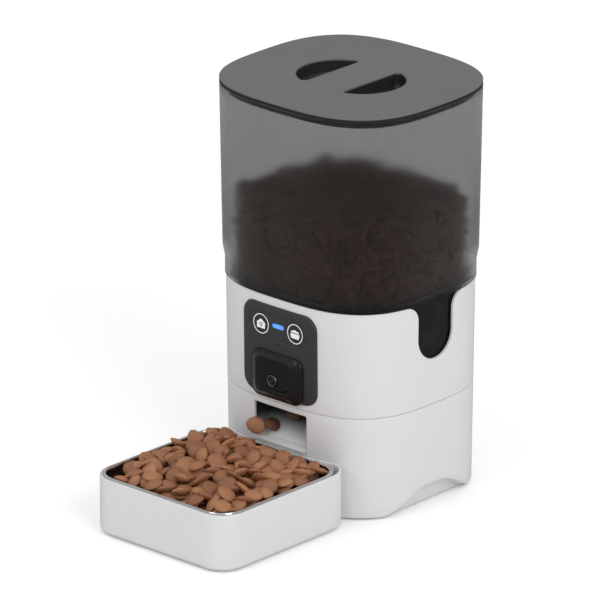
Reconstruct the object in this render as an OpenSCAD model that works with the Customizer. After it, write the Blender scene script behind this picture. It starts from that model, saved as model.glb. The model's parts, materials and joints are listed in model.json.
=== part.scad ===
// Automatic pet feeder: a rounded-square tower with a lift-off food hopper, a portioning rotor
// driven from below, a front camera and button panel, and a bowl tray that slides away.
// The model's origin is on the floor under the middle of the whole object.

/* [Overall size] */
// Width of the lid, the widest part of the tower
body_w = 190; // [160:1:240]
// Depth of the lid, front to back
body_d = 176.4; // [166:0.1:220]
// Height from the floor to the top of the lid
body_h = 335.4; // [270:0.1:420]
// Power of the rounded-square outline, 2 is an ellipse and higher is squarer
corner_power = 3; // [2.8:0.1:3.6]

/* [Housing] */
// Thickness of the white housing
wall = 2.2; // [1.8:0.1:3]
// How far the housing stands inside the lid's edge at the floor
foot_inset = 6.3; // [5:0.1:8]
// How far the housing stands inside the lid's edge at its top
head_inset = 4.4; // [3.5:0.1:6]
// Height of the seam between the lower and upper housing
seam_z = 85.5; // [84:0.5:88]
// Open line left at each seam
seam_gap = 0.3; // [0.2:0.05:0.6]
// Height of the upper housing's top edge
shell_top = 172.6; // [170:0.1:176]
// Gap between the housing and the floor
foot_gap = 1.5; // [1:0.1:3]
// Clearance between parts that slip into each other
fit = 0.3; // [0.2:0.05:0.5]

/* [Side notches] */
// Width of the finger notch in each side of the upper housing
notch_w = 40; // [30:1:46]
// Height of the notch's lowest point
notch_z = 123.5; // [118:0.5:135]
// Length of the grip arch along the floor
arch_len = 114; // [90:1:120]
// Height of the grip arch
arch_h = 18.5; // [12:0.5:20]
// Length of each rounded end of the grip arch
arch_rise = 50; // [25:1:57]
// Depth of the grip arch into the side
arch_depth = 9; // [6:0.5:11]

/* [Hopper and lid] */
// Thickness of the hopper's wall
tank_wall = 2.6; // [2:0.1:3.2]
// Inset of the hopper's lower ring from the lid's edge
ring_inset = 3.7; // [3:0.1:5]
// Inset of the hopper just above its step
step_inset = 2; // [1:0.1:2.8]
// Height of the hopper's lower ring
ring_h = 15; // [10:0.5:20]
// Height of the sloped step above the ring
step_h = 8; // [5:0.5:12]
// Thickness of the lid plate
lid_t = 1.5; // [1.2:0.1:3]
// Height of the plug ring under the lid
plug_h = 7.6; // [6:0.1:12]
// Thickness of the plug ring
plug_t = 2.2; // [1.6:0.1:3]
// Radius of the half-moon finger recess
moon_r = 34; // [28:0.5:38]
// Distance of the half-moon's circle centre from the middle
moon_x = 12.3; // [8:0.1:16]
// Distance of the half-moon's straight side from the middle
bar_x = 19.3; // [17.5:0.1:22]
// Depth of the finger recess
moon_depth = 14; // [10:0.5:18]

/* [Rotor and drive] */
// Radius of the rotor chamber
chamber_r = 58; // [46:0.5:59]
// Height of the rotor chamber's floor
chamber_z = 103.9; // [103.9:0.1:106]
// Height of the rotor chamber
chamber_h = 30; // [26:0.5:32]
// Number of the rotor's vanes
vanes = 6; // [4:1:8]
// Thickness of a vane
vane_t = 2.4; // [1.6:0.1:3]
// Radius of the rotor's hub
hub_r = 13; // [12:0.5:14]
// Width of the food outlet and of the chute
chute_w = 55; // [46:1:58]
// Gear module
gear_module = 1; // [0.8:0.05:1.05]
// Teeth of the drive gear
gear_teeth = 40; // [36:2:42]
// Teeth of the pinion
pinion_teeth = 18; // [18:2:20]
// Thickness of the gears
gear_t = 6; // [4:0.5:7]
// Radius of the drive shaft
shaft_r = 4; // [3:0.1:4.5]
// Radius of the motor
motor_r = 12; // [10:0.5:14]

/* [Panel] */
// Width of the control panel
panel_w = 77; // [72:1:82]
// Height of the control panel
panel_h = 75; // [72:1:78]
// Height of the panel's bottom edge
panel_z = 90.5; // [90:0.5:93]
// Corner radius of the panel
panel_r = 12; // [8:0.5:16]
// How far the panel stands out of the housing
panel_proud = 1.5; // [1:0.1:2]
// Radius of a push button
button_r = 8.5; // [6.5:0.1:9]
// Distance of each button from the middle
button_x = 18; // [17:0.5:20]
// Height of the buttons above the panel's bottom edge
button_rise = 57.8; // [55:0.1:60]
// Travel of a button
button_travel = 0.8; // [0.4:0.1:1]
// Width of the status light
led_w = 12.2; // [10:0.1:14]
// Height of the status light
led_h = 3.6; // [3:0.1:6]
// Width of the camera housing
camera_w = 53; // [48:0.5:56]
// Height of the camera housing
camera_h = 39; // [36:0.5:40]
// How far the camera housing stands out of the panel
camera_proud = 6; // [4:0.1:7]
// Width of the camera's dark front window
window_w = 31; // [24:0.5:34]
// Height of the camera's dark front window
window_h = 24; // [20:0.5:25]

/* [Bowl] */
// Distance from the tower's back to the tray's front
reach = 312.1; // [300:0.1:330]
// Width of the bowl tray
tray_w = 144.4; // [130:0.1:150]
// Height of the bowl tray
tray_h = 48; // [40:0.5:49]
// Corner radius of the bowl tray
tray_r = 21; // [15:0.5:26]
// Thickness of the tray
tray_wall = 2.2; // [1.8:0.1:3]
// Distance of the bowl's edge from the tray's outer face
bowl_edge = 1.6; // [1:0.1:3]
// Width of the bowl's flat rim
rim_w = 3.5; // [3:0.1:8]
// Thickness of the bowl's steel
steel_t = 0.8; // [0.6:0.1:1.2]
// Depth of the bowl
bowl_depth = 37; // [25:0.5:38]

/* [Batteries] */
// Diameter of one battery cell
cell_d = 33.2; // [26:0.1:34]
// Length of one battery cell
cell_len = 61.5; // [50:0.1:62]
// Number of battery cells
cells = 3; // [1:1:3]

/* [Hidden] */

$fn = 64;
hull_fn = 32;
outline_steps = 72;
skin = 0.01;
over = 1;
run_fit = 0.05;
frame_y = (reach - body_d) / 2;

// Levels of the hopper and the lid
tank_z = shell_top + seam_gap;
lid_z = body_h - lid_t;
tank_top = lid_z - seam_gap;
flange_t = 2.4;
flange_inset = 12;
throat_z = chamber_z + chamber_h;

// Inner floor of the tower
plate_z = foot_gap + 0.5;
plate_t = 2.4;
plate_top = plate_z + plate_t;
arch_x = body_w / 2 - foot_inset - arch_depth;
arch_liner = 2;
screw_r = 1.5;
screw_head_r = 3;
boss_r = 4.5;
boss_top = 22;
boss_x = body_w / 2 - 33;
boss_y = body_d / 2 - 30.2;
foot_r = 8;
foot_x = body_w / 2 - 45;
foot_y = body_d / 2 - 26;

// Rotor chamber, deck and chute
tube_t = 2;
floor_t = 2.5;
floor_clear = 0.4;
deck_t = 2.2;
deck_z = chamber_z - floor_t - 1 - deck_t;
deck_front = chamber_r + tube_t + 2.5;
outlet_front = chamber_r;
outlet_rear = gear_module * gear_teeth / 2 + 7;
chute_t = 2;
chute_lip_z = 50.5;
chute_top_z = 81;
chute_mouth = 5;
chute_end = fit - inner_face(chute_w / 2 + chute_t, chute_top_z);

// Drive train
gear_r = gear_module * gear_teeth / 2;
pinion_r = gear_module * pinion_teeth / 2;
motor_y = gear_r + pinion_r;
case_wall = 2;
case_gap = 1.2;
gear_z = deck_z - 2.2 - case_wall - gear_t - 1;
case_z = gear_z - 1 - case_wall;
cover_z = gear_z + gear_t + 1;
motor_z = 50;
motor_shaft_r = 1.5;
dog_r = 5.5;
dog_wing = 15;
dog_wing_t = 4;
dog_h = 12;
dog_z = chamber_z + floor_clear;
dog_fit = 0.3;
dog_hole_r = 9.5;
pressure_angle = 20;
backlash = 0.6;

// Battery bay
cell_gap = 1.3;
contact_room = 4.7;
bay_wall = 2;
bay_x = cell_len / 2 + contact_room + bay_wall;
bay_len = cells * (cell_d + cell_gap) + cell_gap + 2 * bay_wall;
bay_rear = body_d / 2 - foot_inset - wall - 4.4;
bay_front = bay_rear - bay_len;
bay_mid = bay_rear - bay_len / 2;
bay_top = plate_top + cell_d + 7;
cell_z = plate_top + 4 + cell_d / 2;
cover_margin = 3.5;

// Power inlet, board and speaker
inlet_z = 60;
inlet_r = 4.9;
inlet_bore_r = 2.8;
inlet_len = 10;
inner_w = body_w - 2 * (foot_inset + wall);
main_board_w = 33;
main_board_d = 66;
main_board_x = inner_w / 2 - 24;
main_board_y = 4;
main_board_z = 50;
post_r = 3.4;
post_hole_r = 1.1;
speaker_r = 14.5;
speaker_h = 11;
speaker_x = -inner_w / 2 + 27;
speaker_hole_r = 1;
sensor_r = 2.5;

// Panel and camera
front_y = -(body_d / 2 - shell_inset(panel_z + panel_h / 2));
panel_face = front_y - panel_proud;
button_z = panel_z + button_rise;
led_z = button_z + 1.5;
mic_z = button_z - 13;
mic_r = 1;
board_y = panel_face + 10.4;
board_t = 1.6;
switch_size = 6;
switch_h = 2.6;
switch_reach = 0.9;
camera_z = panel_z + 18;
camera_face = panel_face - camera_proud;
camera_back = panel_face + 12;
camera_board_y = camera_back + 2;
camera_r = 8;
camera_flange = 1.8;
camera_bezel = 1;
window_t = 1.4;
window_r = 3;
window_z = camera_z + 2.5;
lens_z = camera_z - 1.8;
lens_r = 4.8;
lens_proud = 1.2;

// Bowl and tray
tray_front = body_d / 2 - reach;
tray_gap = 0.8;
tray_corner_rear = -body_d / 2 + 11.2;
tray_floor = 2.4;
tab_x = 22;
tab_w = 10;
tab_t = 2;
tab_z = 13;
tab_reach = 8;
bowl_front = tray_front + bowl_edge;
bowl_rear = panel_face - 1;
bowl_w = tray_w - 2 * bowl_edge;
bowl_r = tray_r - bowl_edge;
bowl_len = bowl_rear - bowl_front;
bowl_mid = (bowl_rear + bowl_front) / 2;
bowl_lift = 0.1;
bowl_draft = 6;

// How far the housing's surface stands inside the lid's edge at a height
function shell_inset(z) = foot_inset + (head_inset - foot_inset) * z / shell_top;

// Distance of the housing's inner face from the tower's middle, at a height and a distance sideways
function inner_face(x, z) =
  let (inset = shell_inset(z) + wall)
  (body_d / 2 - inset) * pow(1 - pow(x / (body_w / 2 - inset), corner_power), 1 / corner_power);

// Corner points of a rounded-square outline of a width and a depth
function squircle(w, d) = [
  for (i = [0 : outline_steps - 1])
    let (c = cos(360 * i / outline_steps), s = sin(360 * i / outline_steps))
    [w / 2 * sign(c) * pow(abs(c), 2 / corner_power), d / 2 * sign(s) * pow(abs(s), 2 / corner_power)]
];

// Smooth rise from 0 to 1
function smooth_rise(t) = t * t * (3 - 2 * t);

// Points of the bell-shaped grip arch, which reaches its height at any length
function bell(half, h) = [
  for (i = [-12 : 12])
    let (t = min(1, half * (1 - abs(i) / 12) / arch_rise))
    [half * i / 12, h * smooth_rise(t) / smooth_rise(min(1, half / arch_rise))]
];

// Angle of an involute at a radius, as seen from its base circle
function involute(base, r) = sqrt(pow(r / base, 2) - 1) * 180 / PI - acos(base / r);

// Outline of a spur gear with involute flanks
function gear_points(teeth) =
  let (
    pitch = gear_module * teeth / 2,
    base = pitch * cos(pressure_angle),
    root = pitch - 1.25 * gear_module,
    tip = pitch + 0.95 * gear_module,
    low = max(base, root) + skin,
    half = 90 / teeth - backlash * 9 / teeth + involute(base, pitch),
    radii = [low, (low + pitch) / 2, pitch, (pitch + tip) / 2, tip]
  )
  [
    for (k = [0 : teeth - 1])
      let (turn = 360 * k / teeth)
      for (p = concat(
        [[root, -half]],
        [for (r = radii) [r, involute(base, r) - half]],
        [for (j = [4 : -1 : 0]) [radii[j], half - involute(base, radii[j])]],
        [[root, half]]
      ))
        p[0] * [cos(turn + p[1]), sin(turn + p[1])]
  ];

// Moves the tower from its own middle to the model's frame
module in_frame() {
  translate([0, frame_y, 0]) children();
}

// Straight slice of the tower's outline, inset from the lid's edge
module slab(inset, z, h) {
  translate([0, 0, z]) linear_extrude(h) outline(inset);
}

module outline(inset) {
  polygon(squircle(body_w - 2 * inset, body_d - 2 * inset));
}

// Slice whose outline changes from one inset to another
module taper(inset_a, z_a, inset_b, z_b) {
  hull() {
    slab(inset_a, z_a, skin);
    slab(inset_b, z_b - skin, skin);
  }
}

// Slice of the housing's own tapered outline, moved inwards
module shell_body(z_a, z_b, inward) {
  taper(shell_inset(z_a) + inward, z_a, shell_inset(z_b) + inward, z_b);
}

module rounded(w, h, r) {
  square([w - 2 * r, h], center = true);
  square([w, h - 2 * r], center = true);
  for (x = [-1, 1], y = [-1, 1])
    translate([x * (w / 2 - r), y * (h / 2 - r)]) circle(r);
}

// Extrudes a shape drawn in X and Z from a depth towards the front
module front_plate(y, z, t) {
  translate([0, y, z]) rotate([90, 0, 0]) linear_extrude(t) children();
}

// Box between two corners
module box(low, high) {
  translate(low) cube(high - low);
}

module screw(length) {
  cylinder(r = screw_r, h = length);
  translate([0, 0, -2]) cylinder(r = screw_head_r, h = 2);
}

module arch_cut(grow, x) {
  for (side = [0, 180])
    rotate(side) translate([x, 0, 0]) rotate([90, 0, 90]) linear_extrude(body_w)
      polygon(concat(
        [[-arch_len / 2 - grow, -over]],
        [for (p = bell(arch_len / 2 + grow, arch_h + grow)) p],
        [[arch_len / 2 + grow, -over]]
      ));
}

module base_bosses(r, z, h) {
  for (x = [-1, 1], y = [-1, 1])
    translate([x * boss_x, y * boss_y, z]) cylinder(r = r, h = h);
}

module chute_opening() {
  box([-chute_w / 2, -body_d, chute_lip_z], [chute_w / 2, -body_d / 2 + 20, chute_top_z]);
}

module lower_shell() in_frame() color("whitesmoke") difference() {
  union() {
    difference() {
      shell_body(foot_gap, seam_z, 0);
      shell_body(foot_gap - over, seam_z + over, wall);
    }
    intersection() {
      shell_body(plate_top + fit, boss_top, wall / 2);
      union() {
        for (x = [-1, 1], y = [-1, 1]) {
          translate([x * boss_x, y * boss_y, plate_top + fit]) cylinder(r = boss_r, h = boss_top);
          translate([x * (boss_x + 15), y * boss_y, boss_top / 2]) cube([30, 2, boss_top], center = true);
        }
        arch_cut(arch_liner, arch_x - arch_liner);
      }
    }
  }
  arch_cut(0, arch_x);
  chute_opening();
  translate([0, 0, plate_top]) base_bosses(screw_r + fit / 3, 0, boss_top - 2 * plate_top);
  for (x = [-1, 1])
    translate([x * tab_x, -body_d / 2 + 6, tab_z]) cube([tab_w + 2, 12, tab_t + 2], center = true);
  translate([0, body_d / 2 - 15, inlet_z]) rotate([-90, 0, 0]) cylinder(r = inlet_r + fit / 3, h = 20);
}

module upper_shell() in_frame() color("whitesmoke") difference() {
  union() {
    difference() {
      shell_body(seam_z + seam_gap, shell_top, 0);
      shell_body(seam_z + seam_gap - over, shell_top + over, wall);
    }
    difference() {
      union() {
        slab(shell_inset(seam_z) + wall + fit, seam_z - 4, 4.3);
        slab(shell_inset(seam_z) + wall / 2, seam_z + seam_gap, 4);
      }
      slab(shell_inset(seam_z) + 2 * wall, seam_z - 5, 10);
      box([-chute_w / 2 - chute_t - 1, -body_d, 0], [chute_w / 2 + chute_t + 1, -body_d / 4, seam_z + 5]);
    }
    difference() {
      slab(shell_inset(deck_z) + wall / 2, deck_z - 4, 4);
      slab(shell_inset(deck_z) + wall + 4, deck_z - 5, 6);
    }
  }
  front_plate(-body_d / 2 + 30, panel_z + panel_h / 2, 40) rounded(panel_w + fit, panel_h + fit, panel_r);
  for (side = [-1, 1])
    translate([side * body_w / 2, 0, 0]) {
      translate([-10, 0, notch_z + notch_w / 2]) rotate([0, 90, 0]) cylinder(d = notch_w, h = 20);
      box([-10, -notch_w / 2, notch_z + notch_w / 2], [10, notch_w / 2, shell_top + over]);
    }
}

module base_plate() in_frame() color("gainsboro") difference() {
  union() {
    slab(shell_inset(plate_z) + wall + fit, plate_z, plate_t);
    for (x = [-1, 1], y = [-1, 1])
      translate([main_board_x + x * (main_board_w / 2 - 4), main_board_y + y * (main_board_d / 2 - 4), plate_top])
        cylinder(r = post_r, h = main_board_z - plate_top);
  }
  arch_cut(arch_liner + fit, arch_x - arch_liner - fit);
  box([-bay_x + cover_margin, bay_front + cover_margin, 0], [bay_x - cover_margin, bay_rear - cover_margin, plate_top + over]);
  base_bosses(screw_r + fit / 3, 0, 20);
  base_bosses(screw_head_r + fit / 3, 0, plate_z + 1.2);
  for (x = [-1, 1], y = [-1, 1])
    translate([main_board_x + x * (main_board_w / 2 - 4), main_board_y + y * (main_board_d / 2 - 4), main_board_z - 12])
      cylinder(r = post_hole_r, h = 12 + over);
  for (a = [0 : 60 : 300], r = [4, 9])
    translate([speaker_x, 0, 0]) rotate(a + 3 * r) translate([r, 0, 0]) cylinder(r = speaker_hole_r, h = 10);
}

module rubber_feet() in_frame() color("dimgray")
  for (x = [-1, 1], y = [-1, 1])
    translate([x * foot_x, y * foot_y, 0]) cylinder(r = foot_r, h = plate_z);

module base_screws() in_frame() color("silver")
  for (x = [-1, 1], y = [-1, 1])
    translate([x * boss_x, y * boss_y, plate_z + 1.2]) difference() {
      union() {
        translate([0, 0, -1]) cylinder(r = screw_head_r, h = 1);
        cylinder(r = screw_r, h = 13);
      }
      translate([0, 0, -1.5]) cube([3.6, 0.8, 1.8], center = true);
      translate([0, 0, -1.5]) cube([0.8, 3.6, 1.8], center = true);
    }

module battery_box() in_frame() color("dimgray") difference() {
  box([-bay_x, bay_front, plate_top + skin], [bay_x, bay_rear, bay_top]);
  box([-bay_x + bay_wall, bay_front + bay_wall, 0], [bay_x - bay_wall, bay_rear - bay_wall, bay_top - bay_wall]);
}

function cell_y(i) = bay_mid + (i - (cells - 1) / 2) * (cell_d + cell_gap);

module battery_cells() in_frame() color("goldenrod")
  for (i = [0 : cells - 1])
    translate([0, cell_y(i), cell_z]) rotate([0, 90, 0]) {
      translate([0, 0, -cell_len / 2]) cylinder(d = cell_d, h = cell_len - 2);
      translate([0, 0, cell_len / 2 - 2]) cylinder(r = 4.8, h = 2);
    }

module battery_contacts() in_frame() color("silver")
  for (i = [0 : cells - 1], side = [-1, 1])
    translate([side * (bay_x - bay_wall - 0.4), cell_y(i), cell_z]) {
      cube([0.8, 22, 22], center = true);
      translate([-side * 1.7, 0, 0]) rotate([0, 90, 0]) cylinder(r = 4, h = 3.2, center = true);
    }

module battery_cover() in_frame() color("gainsboro")
  difference() {
    box(
      [-bay_x + cover_margin + fit, bay_front + cover_margin + fit, plate_z],
      [bay_x - cover_margin - fit, bay_rear - cover_margin - fit, plate_top]
    );
    for (i = [-2 : 2])
      translate([3 * i, bay_front + 14, plate_z]) cube([1.4, 12, 1.2], center = true);
  }

module deck_plate() in_frame() color("gainsboro") difference() {
  slab(shell_inset(deck_z) + wall + fit, deck_z, deck_t);
  box([-body_w, -body_d, 0], [body_w, -deck_front, body_h]);
  box([-chute_w / 2, -outlet_front, 0], [chute_w / 2, -outlet_rear, body_h]);
  cylinder(r = dog_hole_r, h = body_h);
  translate([0, 0, deck_z - over]) cylinder(r = dog_hole_r + 2, h = over + 0.6);
}

// Side outline of the chute's passage, grown for the chute's own walls
module chute_side(grow) {
  polygon([
    [-outlet_rear + grow, deck_z],
    [-outlet_front - grow, deck_z],
    [-outlet_front - grow, deck_z - 5],
    [chute_end, chute_top_z + grow / 2],
    [chute_end, chute_lip_z + 3 - grow],
    [-outlet_rear + grow, deck_z - 5 - grow / 2]
  ]);
}

module chute() in_frame() color("lightgray") {
  difference() {
    translate([-chute_w / 2 - chute_t, 0, 0]) rotate([90, 0, 90])
      linear_extrude(chute_w + 2 * chute_t) chute_side(chute_t);
    translate([-chute_w / 2, 0, 0]) rotate([90, 0, 90]) linear_extrude(chute_w) chute_side(0);
    box([-chute_w / 2, -outlet_front, deck_z - over], [chute_w / 2, -outlet_rear, deck_z + over]);
    box([-chute_w / 2, chute_end - over, chute_lip_z + 3], [chute_w / 2, chute_end + over, chute_top_z]);
    for (side = [-1, 1])
      translate([side * chute_w / 2, chute_end + 14, chute_lip_z + 22]) rotate([0, 90, 0])
        cylinder(r = sensor_r + fit / 3, h = 3 * chute_t, center = true);
  }
  translate([-chute_w / 2 + fit, 0, 0]) rotate([90, 0, 90]) linear_extrude(chute_w - 2 * fit)
    polygon([
      [chute_end + skin, chute_lip_z + 3],
      [chute_end + skin, chute_lip_z + 1],
      [chute_end - chute_mouth, chute_lip_z + fit],
      [chute_end - chute_mouth, chute_lip_z + fit + 1]
    ]);
}

module chute_sensors() in_frame() color("black") {
  for (side = [-1, 1])
    translate([side * (chute_w / 2 + chute_t / 2), chute_end + 14, chute_lip_z + 22]) rotate([0, 90, 0]) {
      cylinder(r = sensor_r, h = chute_t, center = true);
      translate([0, 0, side * (chute_t / 2 + 2)]) cylinder(r = sensor_r + 2, h = 4, center = true);
    }
}

// Outline of the gearbox around both gears
module gearbox_outline(grow) {
  circle(gear_r + gear_module + case_gap + grow);
  translate([0, motor_y]) circle(pinion_r + gear_module + case_gap + grow);
  translate([-pinion_r - gear_module - case_gap - grow, 0])
    square([2 * (pinion_r + gear_module + case_gap + grow), motor_y]);
}

module gearbox_screw_places() {
  for (x = [-1, 1])
    translate([x * (pinion_r + gear_module + case_gap + case_wall + 2.6), motor_y - 1, 0]) children();
}

module gearbox_case() in_frame() color("dimgray") difference() {
  union() {
    translate([0, 0, case_z]) linear_extrude(cover_z - case_z) gearbox_outline(case_wall);
    translate([0, 0, case_z]) gearbox_screw_places() cylinder(r = 3.4, h = cover_z - case_z);
    translate([0, 0, case_z - 4]) cylinder(r = shaft_r + 3, h = 4 + skin);
  }
  translate([0, 0, case_z + case_wall]) linear_extrude(cover_z) gearbox_outline(0);
  translate([0, 0, case_z - 3]) cylinder(r = shaft_r + run_fit, h = 20);
  translate([0, motor_y, case_z - over]) cylinder(r = motor_shaft_r + 1.5, h = 20);
  translate([0, 0, cover_z - 8]) gearbox_screw_places() cylinder(r = 1.2, h = 10);
}

module gearbox_cover() in_frame() color("gray") difference() {
  union() {
    translate([0, 0, cover_z]) linear_extrude(case_wall) gearbox_outline(case_wall);
    translate([0, 0, cover_z]) gearbox_screw_places() cylinder(r = 3.4, h = case_wall);
  }
  translate([0, 0, cover_z - over]) cylinder(r = shaft_r + run_fit, h = 10);
  translate([0, motor_y, cover_z - over]) cylinder(r = motor_shaft_r + run_fit, h = 10);
  translate([0, 0, cover_z - over]) gearbox_screw_places() cylinder(r = 1.4, h = 10);
}

module gearbox_screws() in_frame() color("silver")
  translate([0, 0, cover_z - 6]) gearbox_screw_places() {
    cylinder(r = 1.1, h = 6 + case_wall);
    translate([0, 0, 6 + case_wall]) cylinder(r = 2.4, h = 1.2);
  }

module motor() in_frame() color("silver") translate([0, motor_y, 0]) {
  translate([0, 0, motor_z]) cylinder(r = motor_r, h = case_z - motor_z);
  translate([0, 0, motor_z - 2]) cylinder(r = 4, h = 2);
  for (x = [-1, 1])
    translate([x * 6, 0, motor_z - 1.5]) cube([0.6, 2.4, 3], center = true);
}

module pinion() in_frame() color("white") translate([0, motor_y, 0]) {
  translate([0, 0, gear_z]) linear_extrude(gear_t) polygon(gear_points(pinion_teeth));
  translate([0, 0, case_z + fit]) cylinder(r = motor_shaft_r, h = cover_z - case_z + case_wall - 2 * fit);
}

module drive_gear() in_frame() color("white") translate([0, 0, gear_z]) difference() {
  linear_extrude(gear_t) polygon(gear_points(gear_teeth));
  translate([0, 0, -over]) cylinder(r = shaft_r + skin, h = gear_t + 2 * over);
  for (a = [0 : 60 : 300])
    rotate(a) translate([(gear_r + shaft_r) / 2, 0, -over]) cylinder(r = 2.6, h = gear_t + 2 * over);
}

module dog(grow, h) {
  cylinder(r = dog_r + grow, h = h);
  translate([0, 0, h / 2]) cube([dog_wing + 2 * grow, dog_wing_t + 2 * grow, h], center = true);
}

module drive_coupler() in_frame() color("gray") {
  translate([0, 0, case_z - 3 + fit]) cylinder(r = shaft_r, h = dog_z - case_z + 3);
  translate([0, 0, dog_z]) dog(0, dog_h);
}

module main_board() in_frame() color("seagreen")
  translate([main_board_x, main_board_y, main_board_z]) difference() {
    translate([0, 0, board_t / 2]) cube([main_board_w, main_board_d, board_t], center = true);
    for (x = [-1, 1], y = [-1, 1])
      translate([x * (main_board_w / 2 - 4), y * (main_board_d / 2 - 4), -over]) cylinder(r = 1.5, h = 5);
  }

module board_components() in_frame() color("dimgray")
  translate([main_board_x, main_board_y, main_board_z + board_t]) {
    translate([-2, -6, 1]) cube([12, 12, 2], center = true);
    translate([3, 13, 1.6]) cube([16, 12, 3.2], center = true);
    translate([-13.5, 8, 3]) cube([5, 14, 6], center = true);
    translate([-13.5, -12, 3]) cube([5, 12, 6], center = true);
    for (y = [-18, -25])
      translate([2, y, 0]) cylinder(r = 2.6, h = 8);
  }

module board_screws() in_frame() color("silver")
  translate([main_board_x, main_board_y, main_board_z])
    for (x = [-1, 1], y = [-1, 1])
      translate([x * (main_board_w / 2 - 4), y * (main_board_d / 2 - 4), 0]) {
        translate([0, 0, -8]) cylinder(r = 1, h = 8 + board_t);
        translate([0, 0, board_t]) cylinder(r = 2.2, h = 1.4);
      }

module speaker() in_frame() color("black") translate([speaker_x, 0, plate_top]) {
  cylinder(r = speaker_r, h = 3);
  translate([0, 0, 3]) cylinder(r1 = speaker_r - 1.5, r2 = 7, h = 4);
  translate([0, 0, 7]) cylinder(r = 7, h = speaker_h - 7);
}

module power_inlet() in_frame() color("black") {
  face = body_d / 2 - shell_inset(inlet_z);
  translate([0, face, inlet_z]) rotate([90, 0, 0]) difference() {
    union() {
      cylinder(r = inlet_r, h = inlet_len);
      translate([0, 0, inlet_len / 2 + 2.5]) cube([14, 12, inlet_len - 3], center = true);
    }
    translate([0, 0, -over]) cylinder(r = inlet_bore_r, h = inlet_len);
  }
  translate([0, face - 0.5, inlet_z]) rotate([90, 0, 0]) cylinder(r = 1, h = inlet_len - 1);
}

module control_panel() in_frame() color("#333538") difference() {
  intersection() {
    shell_body(panel_z - 2, panel_z + panel_h + 2, -panel_proud);
    front_plate(-body_d / 2 + 30, panel_z + panel_h / 2, 40) rounded(panel_w, panel_h, panel_r);
  }
  shell_body(panel_z - 3, panel_z + panel_h + 3, wall);
  for (side = [-1, 1])
    translate([side * button_x, -body_d / 2, button_z]) rotate([90, 0, 0])
      cylinder(r = button_r + fit, h = 30, center = true);
  front_plate(-body_d / 2 + 30, led_z, 40) rounded(led_w + fit, led_h + fit, led_h / 2);
  translate([0, -body_d / 2, mic_z]) rotate([90, 0, 0]) cylinder(r = mic_r, h = 30, center = true);
  front_plate(-body_d / 2 + 30, camera_z, 40) rounded(camera_w - 6 + fit, camera_h - 6 + fit, camera_r - 3);
}

module push_button(side) {
  translate([side * button_x, panel_face + 0.2, button_z]) rotate([-90, 0, 0]) {
    cylinder(r = button_r, h = 3);
    cylinder(r = 2.4, h = board_y - switch_h - panel_face - 0.3 - switch_reach - button_travel);
  }
}

module wifi_button() in_frame() color("#3a3c40") push_button(-1);

module feed_button() in_frame() color("#3a3c40") push_button(1);

module led_lens() in_frame() color("deepskyblue")
  front_plate(panel_face + 4, led_z, 3.9) rounded(led_w, led_h, led_h / 2 - skin);

module panel_board() in_frame() color("seagreen")
  translate([0, board_y + board_t / 2, button_z]) cube([2 * button_x + 28, board_t, 22], center = true);

module button_switches() in_frame() color("silver")
  for (side = [-1, 1])
    translate([side * button_x, board_y, button_z]) {
      translate([0, -switch_h / 2, 0]) cube([switch_size, switch_h, switch_size], center = true);
      rotate([90, 0, 0]) translate([0, 0, switch_h]) cylinder(r = 1.7, h = switch_reach);
    }

module camera_housing() in_frame() color("#2c2e31") difference() {
  union() {
    front_plate(panel_face, camera_z, camera_flange) rounded(camera_w, camera_h, camera_r);
    hull() {
      front_plate(panel_face - camera_flange + skin, camera_z, skin)
        rounded(camera_w - 2 * camera_bezel, camera_h - 2 * camera_bezel, camera_r - camera_bezel, $fn = hull_fn);
      front_plate(camera_face + skin, window_z, skin)
        rounded(window_w + 2 * camera_bezel, window_h + 2 * camera_bezel, window_r + camera_bezel, $fn = hull_fn);
    }
    front_plate(camera_back, camera_z, camera_back - panel_face + skin)
      rounded(camera_w - 6, camera_h - 6, camera_r - 3);
  }
  front_plate(camera_face + window_t, window_z, 10) rounded(window_w + fit, window_h + fit, window_r);
  front_plate(camera_back + over, camera_z, camera_back - panel_face - 1) rounded(camera_w - 9, camera_h - 9, 3);
  translate([0, camera_back, lens_z]) rotate([90, 0, 0]) cylinder(r = lens_r + fit, h = 30);
}

module camera_window() in_frame() color("#15171a") difference() {
  front_plate(camera_face + window_t - skin, window_z, window_t - skin) rounded(window_w, window_h, window_r);
  translate([0, camera_back, lens_z]) rotate([90, 0, 0]) cylinder(r = lens_r + fit, h = 30);
}

module camera_lens() in_frame() color("black")
  translate([0, camera_board_y, lens_z]) rotate([90, 0, 0]) {
    cylinder(r = lens_r, h = camera_board_y - camera_face + lens_proud);
    cylinder(r = lens_r + 2, h = 5);
  }

module camera_board() in_frame() color("seagreen")
  translate([0, camera_board_y + board_t / 2, camera_z]) cube([camera_w - 12, board_t, camera_h - 12], center = true);

module hopper() in_frame() color("#6f7377", 0.55) {
  difference() {
    union() {
      slab(ring_inset, tank_z, ring_h);
      taper(ring_inset, tank_z + ring_h - skin, step_inset, tank_z + ring_h + step_h);
      taper(step_inset, tank_z + ring_h + step_h - skin, 0, tank_top);
    }
    slab(ring_inset + tank_wall, tank_z + flange_t, ring_h - flange_t + skin);
    taper(ring_inset + tank_wall, tank_z + ring_h, step_inset + tank_wall, tank_z + ring_h + step_h + skin);
    taper(step_inset + tank_wall, tank_z + ring_h + step_h, tank_wall, tank_top + over);
    slab(flange_inset, tank_z - over, 2 * flange_t);
  }
}

// Outline of the skirt, cut flat behind the control panel
module skirt_outline(grow) {
  intersection() {
    outline(shell_inset(chamber_z) + wall + 1 + grow);
    translate([-body_w / 2, -chamber_r - tube_t - 2 + grow]) square([body_w, body_d]);
  }
}

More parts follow.
